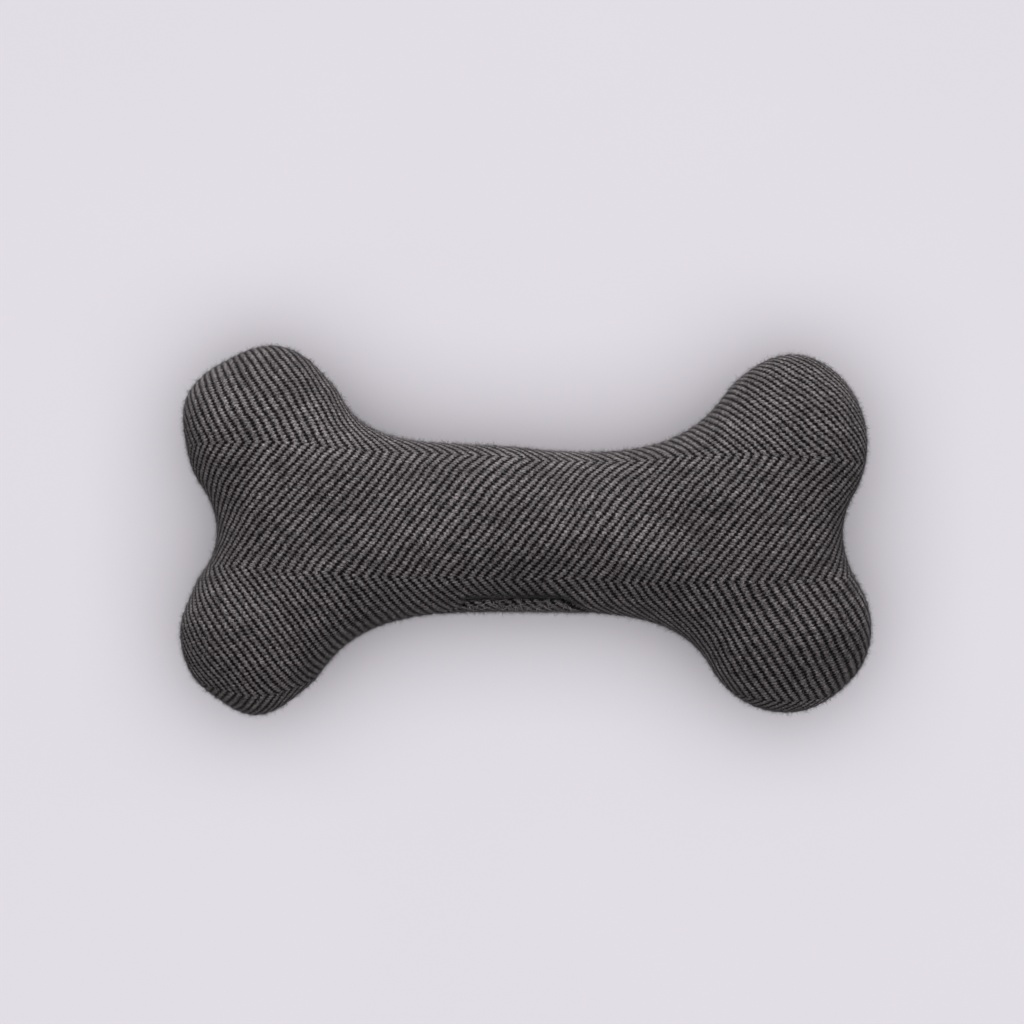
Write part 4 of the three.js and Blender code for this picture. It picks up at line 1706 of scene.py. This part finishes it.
    def _relief(self, rings: np.ndarray, flat: np.ndarray, side: Side) -> np.ndarray:
        """Rise of the cloth at each point: ribs, uneven filling and puckers at the seam.

        Args:
            rings: The rings.
            flat: Their places in the flat cloth.
            side: Which panel they belong to.

        Returns:
            The rise at each point.
        """
        form = self.form
        count = len(form.edge)
        depth = np.ones(len(rings))
        depth[self.outer_rings:] = np.linspace(1.0, self.fold_relief, self.fold_rings)
        ribs = self.rib_rise * self.tweed.rib(flat) * depth[:, None]
        height = np.abs(rings[..., 2]) / form.shaft_crown
        broad, fine = (
            Wander(seed + side.value, length).at(rings)
            for seed, length in zip(self.lump_seeds, self.lump_lengths)
        )
        lumps = self.lump_rise * (broad + self.lump_share * fine)
        lumps *= smooth_step(height, *self.lump_heights)
        gathers = FULL_TURN * np.arange(count) * form.pitch / self.pucker_pitch
        from_seam = np.abs(rings[..., 2] + form.seam_drop)
        near_seam = 1.0 - smooth_step(from_seam, *self.pucker_heights)
        puckers = self.pucker * np.sin(gathers)[None] * near_seam * depth[:, None]
        return ribs + lumps + puckers

    def _rested(self, height: np.ndarray, floor: np.ndarray) -> np.ndarray:
        """Heights kept above the surface that the toy lies on, with a soft edge of contact."""
        return floor + self.floor_ease * np.logaddexp(0.0, (height - floor) / self.floor_ease)


@dataclass
class SeamThreads:
    """The machine stitches inside the seam and the hand stitches that close it."""

    form: BoneForm
    finish: SpunThread = SpunThread()
    radius: float = 0.2
    lock_stitch: float = 3.0
    lock_wave: float = 0.12
    machine_depth: float = 2.5
    ladder_stitch: float = 4.0
    ladder_depth: float = 1.0
    ladder_dip: float = 0.35
    ladder_bury: float = 0.5
    ladder_swing: float = 1.6
    sides: int = 8

    def build(self) -> list[bpy.types.Object]:
        """Makes both threads.

        Returns:
            The machine thread and the hand-sewn thread.
        """
        material = self.finish.make()
        return [
            self._thread("seam_stitching", self._machine(), "seam_thread", material),
            self._thread("ladder_stitching", self._ladder(), "closing_thread", material),
        ]

    def _thread(
        self, name: str, path: np.ndarray, node: str, material: bpy.types.Material
    ) -> bpy.types.Object:
        """Makes a thread along a path and dresses it.

        Args:
            name: Name of the piece.
            path: Points of its middle line.
            node: The solid that it stands for.
            material: Its finish.

        Returns:
            The piece.
        """
        points, faces = tube(path, self.radius, self.sides)
        piece = make_piece(name, self.form.placed(points), faces)
        piece.data.materials.append(material)
        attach(piece, TOY_BODY)
        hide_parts(node)
        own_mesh(piece)
        return piece

    def _machine(self) -> np.ndarray:
        """The lock stitch round the toy, left out along the closure.

        Returns:
            Points of the thread's middle line.
        """
        form = self.form
        is_open = form.in_closure()
        first = int(np.flatnonzero(is_open)[-1]) + 1
        count = len(form.edge)
        wave = np.sin(np.arange(count) * form.pitch * FULL_TURN / self.lock_stitch)
        line = form.pulled(form.beside_seam(self.machine_depth, self.lock_wave * wave), 0.5)
        kept = (first + np.arange(count - int(is_open.sum()))) % count
        return line[kept]

    def _ladder(self) -> np.ndarray:
        """The ladder stitch, which dips into one turned edge and then the other.

        Returns:
            Points of the thread's middle line.
        """
        form = self.form
        turn = (form.edge[:, 0] + form.closure_left) / self.ladder_stitch * math.pi
        swing = np.clip(self.ladder_swing * np.cos(turn), -1.0, 1.0)
        along = swing * (form.half_gap + self.ladder_bury)
        depth = self.ladder_depth + self.ladder_dip * np.abs(swing)
        frontness = (swing + 1.0) / 2.0
        return form.pulled(form.beside_seam(depth, along), frontness)[form.in_closure()]


@dataclass(frozen=True)
class Strand:
    """One kind of loose hair, in millimetres; its lift is how steeply it leaves the cloth."""

    count: int
    length: tuple
    radius: float
    rings: int
    lift: tuple


@dataclass
class StrayWool:
    """Short wool hairs that stand out of the cloth, most of them along the seam."""

    form: BoneForm
    panels: list
    outer_corners: int
    lip_corners: int
    finish: Fibrous = Fibrous(
        "wool_hair", (0.14, 0.131, 0.135, 1.0), Mottle(900.0, 0.35, 1.7, 3.0),
    )
    loose_end: Fibrous = Fibrous(
        "loose_end", (0.40, 0.375, 0.385, 1.0), Mottle(900.0, 0.6, 1.3, 3.0),
    )
    long: Strand = Strand(6000, (0.6, 2.6), 0.028, 3, (0.15, 1.3))
    nap: Strand = Strand(23000, (0.3, 1.6), 0.03, 2, (0.4, 2.6))
    tuft: Strand = Strand(60, (0.8, 2.2), 0.1, 4, (0.2, 1.5))
    wisp: Strand = Strand(110, (0.6, 2.2), 0.04, 3, (0.4, 2.4))
    seam_share: float = 12.0
    seam_height: float = 5.5
    tuft_spread: float = 16.0
    tuft_height: float = 5.0
    bend: float = 0.35
    taper: float = 0.75
    floor: float = 0.05
    seed: int = 5

    def build(self) -> list[bpy.types.Object]:
        """Makes the hairs and the nap of each panel, and pale ends along the hand-sewn seam.

        Returns:
            The pieces.
        """
        draws = np.random.RandomState(self.seed)
        wool, pale = self.finish.make(), self.loose_end.make()
        pieces = []
        for side, panel in zip(Side, self.panels):
            for name, strand in (("stray_wool", self.long), ("nap", self.nap)):
                root, up = self._spread(panel.data, strand.count, draws)
                hairs = self._hairs(root, up, strand, draws)
                pieces.append(self._finished(f"{name}_{side.name.lower()}", hairs, wool))
        lip = self.panels[-1].data
        for name, strand in (("loose_tufts", self.tuft), ("loose_wisps", self.wisp)):
            root, up = self._lip(lip, strand.count, draws)
            pieces.append(self._finished(name, self._hairs(root, up, strand, draws), pale))
        return pieces

    def _spread(
        self, mesh: bpy.types.Mesh, count: int, draws: np.random.RandomState
    ) -> tuple[np.ndarray, np.ndarray]:
        """Places on the outer face, chosen by area and more often near the seam.

        Args:
            mesh: The panel's mesh.
            count: How many places are chosen.
            draws: The random draws.

        Returns:
            The places and the directions away from the cloth there.
        """
        corners, normals = corner_rows(mesh), corner_rows(mesh, "normal")
        areas = np.zeros(len(mesh.polygons))
        mesh.polygons.foreach_get("area", areas)
        starts = np.zeros(len(mesh.polygons), dtype=np.int32)
        mesh.polygons.foreach_get("loop_start", starts)
        around = np.zeros(len(mesh.loops), dtype=np.int32)
        mesh.loops.foreach_get("vertex_index", around)
        first = around[starts]
        height = np.abs(corners[first, 2] - self.form.origin[2]) / MILLIMETRE
        liking = 1.0 + self.seam_share * (1.0 - smooth_step(height, 0.0, self.seam_height))
        weight = np.where(first < self.outer_corners, areas * liking, 0.0)
        chosen = draws.choice(len(weight), count, p=weight / weight.sum())
        shares = draws.dirichlet((1.0, 1.0, 1.0), count)[..., None]
        beside = around[starts[chosen][:, None] + np.arange(3)]
        return (corners[beside] * shares).sum(axis=1), unit((normals[beside] * shares).sum(axis=1))

    def _lip(
        self, mesh: bpy.types.Mesh, count: int, draws: np.random.RandomState
    ) -> tuple[np.ndarray, np.ndarray]:
        """Places on the lip below the hand-sewn seam, half the fold included.

        Args:
            mesh: The back panel's mesh.
            count: How many places are chosen.
            draws: The random draws.

        Returns:
            The places and the directions away from the cloth there.
        """
        corners = corner_rows(mesh)[: self.lip_corners]
        normals = corner_rows(mesh, "normal")[: self.lip_corners]
        local = (corners - self.form.origin) / MILLIMETRE
        along = np.exp(-((local[:, 0] / self.tuft_spread) ** 2))
        is_lip = (local[:, 1] < 0.0) & (local[:, 2] > self.tuft_height)
        weight = np.where(is_lip, along, 0.0)
        chosen = draws.choice(len(weight), count, p=weight / weight.sum())
        return corners[chosen], normals[chosen]

    def _finished(
        self, name: str, hairs: tuple, material: bpy.types.Material
    ) -> bpy.types.Object:
        """Makes one piece of hairs and dresses it.

        Args:
            name: Its name.
            hairs: Corners and faces.
            material: Its finish.

        Returns:
            The piece.
        """
        piece = make_piece(name, *hairs)
        piece.data.materials.append(material)
        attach(piece, TOY_BODY)
        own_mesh(piece)
        return piece

    def _hairs(
        self, root: np.ndarray, up: np.ndarray, strand: Strand, draws: np.random.RandomState
    ) -> tuple[np.ndarray, list]:
        """Thin curved strands of three sides, leaning over the cloth.

        Args:
            root: Where each hair starts, in metres.
            up: Direction away from the cloth there.
            strand: The kind of hair.
            draws: The random draws.

        Returns:
            Corners and faces.
        """
        count = len(root)
        aside = unit(np.cross(up, draws.normal(size=(count, 3))))
        lift = draws.uniform(*strand.lift, size=(count, 1))
        heading = unit(aside + up * lift)
        curl = unit(draws.normal(size=(count, 3)))
        least, greatest = strand.length
        length = mix(least, greatest, draws.uniform(size=(count, 1)) ** 2) * MILLIMETRE
        radius = strand.radius * MILLIMETRE
        second = unit(np.cross(heading, up))
        third = np.cross(heading, second)
        rings = []
        for step in range(strand.rings):
            share = step / (strand.rings - 1)
            middle = root + length * (heading * share + self.bend * curl * share**2)
            thick = radius * (1.0 - self.taper * share)
            rings.append(round_sections(middle, second, third, thick, HAIR_SIDES))
        points = np.stack(rings, axis=1).reshape(-1, 3)
        points[:, 2] = np.maximum(points[:, 2], self.floor * MILLIMETRE)
        one = closed_ring_faces(strand.rings, HAIR_SIDES, flips=False)
        starts = np.arange(count)[:, None, None] * strand.rings * HAIR_SIDES
        quads = (np.array(one[:-2])[None] + starts).reshape(-1, 4).tolist()
        caps = (np.array(one[-2:])[None] + starts).reshape(-1, HAIR_SIDES).tolist()
        return points, quads + caps


# What is inside


@dataclass
class Filling:
    """Wads of polyester fibre pushed into the cover, darkened near the seam with painted shade."""

    form: BoneForm
    finish: Fibrous = Fibrous(
        "wadding", (0.78, 0.76, 0.72, 1.0), Mottle(700.0, 0.82, 1.08, 3.0), sheen=0.05,
    )
    nodes: tuple = (
        "knob_wad_left_upper", "knob_wad_left_lower", "knob_wad_right_upper",
        "knob_wad_right_lower", "shaft_wad_front", "shaft_wad_back",
    )
    voxel: float = 0.0016
    merge: float = 1e-6
    tuft: float = 0.45
    tuft_lengths: tuple = (3.2, 9.0)
    tuft_seeds: tuple = (50, 70)
    tuft_share: float = 0.6
    sink_mean: float = 0.9
    sink_swing: float = 0.6
    sink_range: tuple = (0.15, 2.2)
    # Distances from the seam over which the painted shade on the wadding fades out.
    painted_shade_span: tuple = (4.0, 6.5)
    seam_step: int = 4

    def build(self) -> list[bpy.types.Object]:
        """Makes the six wads."""
        material = self.finish.make()
        return [self._wad(node, number, material) for number, node in enumerate(self.nodes)]

    def _merged(self, node: str) -> bpy.types.Mesh:
        """A copy of a solid's mesh, with its corners merged and no material.

        Args:
            node: The solid.

        Returns:
            The mesh.
        """
        mesh = frame["nodes"][node].data.copy()
        merged = bmesh.new()
        merged.from_mesh(mesh)
        bmesh.ops.remove_doubles(merged, verts=merged.verts, dist=self.merge)
        merged.to_mesh(mesh)
        merged.free()
        mesh.materials.clear()
        return mesh

    def _wad(self, node: str, number: int, material: bpy.types.Material) -> bpy.types.Object:
        """A tufted wad in the shape of its solid.

        Args:
            node: The solid that it stands for.
            number: Its number among the wads.
            material: Its finish.

        Returns:
            The piece.
        """
        form = self.form
        piece = bpy.data.objects.new(f"fibre_{node}", self._merged(node))
        bpy.context.scene.collection.objects.link(piece)
        mesh_evenly(piece, self.voxel)
        mesh = piece.data
        corners = (corner_rows(mesh) - form.origin) / MILLIMETRE
        fine, broad = (
            Wander(seed + number, length).at(corners)
            for seed, length in zip(self.tuft_seeds, self.tuft_lengths)
        )
        tufts = fine + self.tuft_share * broad
        sink = np.clip(self.sink_mean - self.sink_swing * tufts, *self.sink_range)
        corners -= corner_rows(mesh, "normal") * (sink * self.tuft)[:, None]
        corners = form.pulled_loose(corners)
        mesh.vertices.foreach_set("co", form.placed(corners).ravel())
        # Painted shade: wadding near the seam is darkened, where shade falls.
        seam = form.seam[None, :: self.seam_step]
        gap = np.linalg.norm(corners[:, None] - seam, axis=2).min(axis=1)
        depth = mesh.attributes.new(PAINTED_SHADE, "FLOAT", "POINT")
        depth.data.foreach_set("value", 1.0 - smooth_step(gap, *self.painted_shade_span))
        mesh.shade_smooth()
        mesh.update()
        mesh.materials.append(material)
        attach(piece, TOY_BODY)
        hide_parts(node)
        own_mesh(piece)
        return piece


@dataclass
class Squeaker:
    """The soft bulb, and the reed plug in its neck."""

    radius: float = 17.0
    half_height: float = 8.5
    foot: float = 7.0
    wall: float = 0.8
    neck: float = 6.0
    neck_height: float = 3.0
    rim: float = 0.15
    rim_steps: int = 2
    merge: float = 1e-6
    sides: int = 64
    steps: int = 9
    soft: Moulded = Moulded("bulb_plastic", (0.80, 0.79, 0.74, 1.0), 0.42, 0.3)
    hard: Moulded = Moulded("plug_plastic", (0.88, 0.87, 0.83, 1.0), 0.3)
    film: Moulded = Moulded("reed_film", (0.62, 0.55, 0.42, 1.0), 0.22)

    def build(self) -> list[bpy.types.Object]:
        """Makes the bulb and dresses the plug and the reed.

        Returns:
            The bulb, the two parts of the plug and the reed.
        """
        hard, film = self.hard.make(), self.film.make()
        nodes = frame["nodes"]
        for name, material in (("reed_barrel", hard), ("reed_wedge", hard), ("reed_tongue", film)):
            nodes[name].material_slots[0].material = material
        return [self._bulb()] + [nodes[n] for n in ("reed_barrel", "reed_wedge", "reed_tongue")]

    def _profile(self) -> list[tuple[float, float]]:
        """Radius and height of the bulb's outer face, from the foot to the neck's rim.

        Returns:
            The points, from below.
        """
        points = []
        for step in range(self.steps + 1):
            turn = step / self.steps * math.pi / 2.0
            out = self.foot + (self.radius - self.foot) * math.sin(turn)
            points.append((out, -self.half_height * math.cos(turn)))
        for step in range(1, self.steps + 1):
            turn = step / self.steps * math.pi / 2.0
            out = self.neck + (self.radius - self.neck) * math.cos(turn)
            points.append((out, self.half_height * math.sin(turn)))
        points.append((self.neck, self.half_height + self.neck_height * 0.5))
        points.append((self.neck, self.half_height + self.neck_height))
        return points

    def _drawn(self, centre: Vector) -> bpy.types.Object:
        """The bulb's outer face, drawn up ring by ring from a disc.

        Args:
            centre: Middle of its foot.

        Returns:
            The piece, open at both ends.
        """
        profile = self._profile()
        bpy.ops.object.select_all(action="DESELECT")
        bpy.ops.mesh.primitive_circle_add(
            vertices=self.sides, radius=self.foot * MILLIMETRE, fill_type="NGON", location=centre,
        )
        piece = bpy.context.object
        piece.name = piece.data.name = "bulb_shell"
        bpy.ops.object.transform_apply(location=True, rotation=True, scale=True)
        bpy.ops.object.mode_set(mode="EDIT")
        bpy.ops.mesh.select_all(action="SELECT")
        for (before, below), (after, above) in zip(profile, profile[1:]):
            rise = (above - below) * MILLIMETRE
            bpy.ops.mesh.extrude_region_move(TRANSFORM_OT_translate={"value": (0.0, 0.0, rise)})
            share = after / before
            bpy.ops.transform.resize(value=(share, share, 1.0), center_override=centre)
        bpy.ops.mesh.delete(type="FACE")
        bpy.ops.mesh.select_all(action="SELECT")
        bpy.ops.mesh.remove_doubles(threshold=self.merge)
        bpy.ops.mesh.normals_make_consistent(inside=False)
        bpy.ops.object.mode_set(mode="OBJECT")
        return piece

    def _bulb(self) -> bpy.types.Object:
        """The blown bulb with its wall and its rounded rims.

        Returns:
            The piece.
        """
        low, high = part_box("squeaker_bulb")
        centre = Vector(((low.x + high.x) / 2.0, (low.y + high.y) / 2.0, low.z))
        piece = self._drawn(centre)
        wall = piece.modifiers.new("wall", "SOLIDIFY")
        wall.thickness = self.wall * MILLIMETRE
        wall.offset = -1.0
        rim = piece.modifiers.new("rim", "BEVEL")
        rim.width = self.rim * MILLIMETRE
        rim.segments = self.rim_steps
        rim.limit_method = "ANGLE"
        apply_modifier(piece, wall)
        apply_modifier(piece, rim)
        piece.data.shade_smooth()
        piece.data.materials.clear()
        piece.data.materials.append(self.soft.make())
        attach(piece, TOY_BODY)
        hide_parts("squeaker_bulb")
        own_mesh(piece)
        return piece


# Table top, light and camera


@dataclass
class Studio:
    """Pale table top, soft light from above and the camera."""

    form: BoneForm
    picture: int = 1024
    pixel: float = 0.30364
    middle_x: float = 525.65
    middle_y: float = 530.45
    distance: float = 1.5
    sensor: float = 36.0
    seen_from: float = 0.05
    seen_to: float = 20.0
    top: PaleTop = PaleTop()
    backdrop: tuple = (0.752, 0.723, 0.778, 1.0)
    top_size: float = 8.0
    top_drop: float = 0.0002
    box_height: float = 1.1
    box_size: float = 2.3
    box_power: float = 18.8
    side_distance: float = 1.3
    side_degrees: float = 16.0
    side_size: float = 0.9
    side_power: float = 24.0
    world_strength: float = 0.17
    world_colour: tuple = (1.0, 0.985, 1.0, 1.0)

    def build(self) -> None:
        """Makes the table top, the light and the camera."""
        top = self._table_top()
        self._lamp("soft_box", Vector((0.0, 0.0, self.box_height)), self.box_size, self.box_power)
        turn = math.radians(self.side_degrees)
        place = Vector((0.0, math.cos(turn), math.sin(turn))) * self.side_distance
        side = self._lamp("side_lamp", place, self.side_size, self.side_power)
        self._flag(side, top)
        self._world()
        self._camera()

    def _table_top(self) -> bpy.types.Object:
        """A large flat top just under the toy.

        Returns:
            The top.
        """
        bpy.ops.object.select_all(action="DESELECT")
        place = (0.0, 0.0, -self.top_drop)
        bpy.ops.mesh.primitive_plane_add(size=self.top_size, location=place)
        plane = bpy.context.object
        plane.name = "table_top"
        plane.data.materials.append(self.top.make())
        return plane

    def _lamp(self, name: str, place: Vector, size: float, power: float) -> bpy.types.Object:
        """A wide soft lamp that faces the toy.

        Args:
            name: Name of the lamp.
            place: Its middle, in metres.
            size: Length of its sides, in metres.
            power: Its power, in watts.

        Returns:
            The lamp.
        """
        data = bpy.data.lights.new(name, "AREA")
        data.shape = "SQUARE"
        data.size = size
        data.energy = power
        lamp = bpy.data.objects.new(name, data)
        lamp.location = place
        lamp.rotation_euler = (-place).to_track_quat("-Z", "Y").to_euler()
        bpy.context.scene.collection.objects.link(lamp)
        return lamp

    def _flag(self, lamp: bpy.types.Object, top: bpy.types.Object) -> None:
        """Keeps a low lamp off the table top, so that it throws no long shadow there.

        Args:
            lamp: The lamp.
            top: The table top.
        """
        flagged = bpy.data.collections.new("flagged")
        flagged.objects.link(top)
        lamp.light_linking.receiver_collection = flagged
        flagged.collection_objects[0].light_linking.link_state = "EXCLUDE"

    def _world(self) -> None:
        """Even light all round, with a pale background for the camera."""
        world = bpy.data.worlds.new("room")
        world.use_nodes = True
        nodes, links = world.node_tree.nodes, world.node_tree.links
        nodes.clear()
        output = nodes.new("ShaderNodeOutputWorld")
        light = nodes.new("ShaderNodeBackground")
        light.inputs["Color"].default_value = self.world_colour
        light.inputs["Strength"].default_value = self.world_strength
        backdrop = nodes.new("ShaderNodeBackground")
        backdrop.inputs["Color"].default_value = self.backdrop
        seen = nodes.new("ShaderNodeLightPath")
        choice = nodes.new("ShaderNodeMixShader")
        links.new(seen.outputs["Is Camera Ray"], choice.inputs[0])
        links.new(light.outputs[0], choice.inputs[1])
        links.new(backdrop.outputs[0], choice.inputs[2])
        links.new(choice.outputs[0], output.inputs["Surface"])
        bpy.context.scene.world = world

    def _camera(self) -> None:
        """A long lens straight above the toy."""
        wide = self.picture * self.pixel * MILLIMETRE
        half = self.picture / 2.0
        x = self.form.origin[0] + (half - self.middle_x) * self.pixel * MILLIMETRE
        y = self.form.origin[1] + (self.middle_y - half) * self.pixel * MILLIMETRE
        data = bpy.data.cameras.new("camera")
        data.sensor_width = self.sensor
        data.lens = self.sensor * self.distance / wide
        data.clip_start = self.seen_from
        data.clip_end = self.seen_to
        camera = bpy.data.objects.new("camera", data)
        camera.location = (x, y, self.form.origin[2] + self.distance)
        bpy.context.scene.collection.objects.link(camera)
        bpy.context.scene.camera = camera


def report(log: logging.Logger, pieces: list) -> None:
    """Logs the name of each piece and how many faces it has."""
    for piece in pieces:
        log.info("%s: %d faces", piece.name, len(piece.data.polygons))


def main() -> None:
    """Builds every sub-assembly in order."""
    logging.basicConfig(level=logging.INFO, format="%(message)s")
    log = logging.getLogger("toy")
    form = BoneForm()
    Studio(form).build()
    cover = TweedCover(form)
    panels = cover.build()
    report(log, panels)
    report(log, SeamThreads(form).build())
    report(log, StrayWool(form, panels, cover.outer_corners, cover.lip_corners).build())
    report(log, Filling(form).build())
    report(log, Squeaker().build())
    bpy.context.scene.view_settings.view_transform = "Standard"


if __name__ == "__main__":
    main()
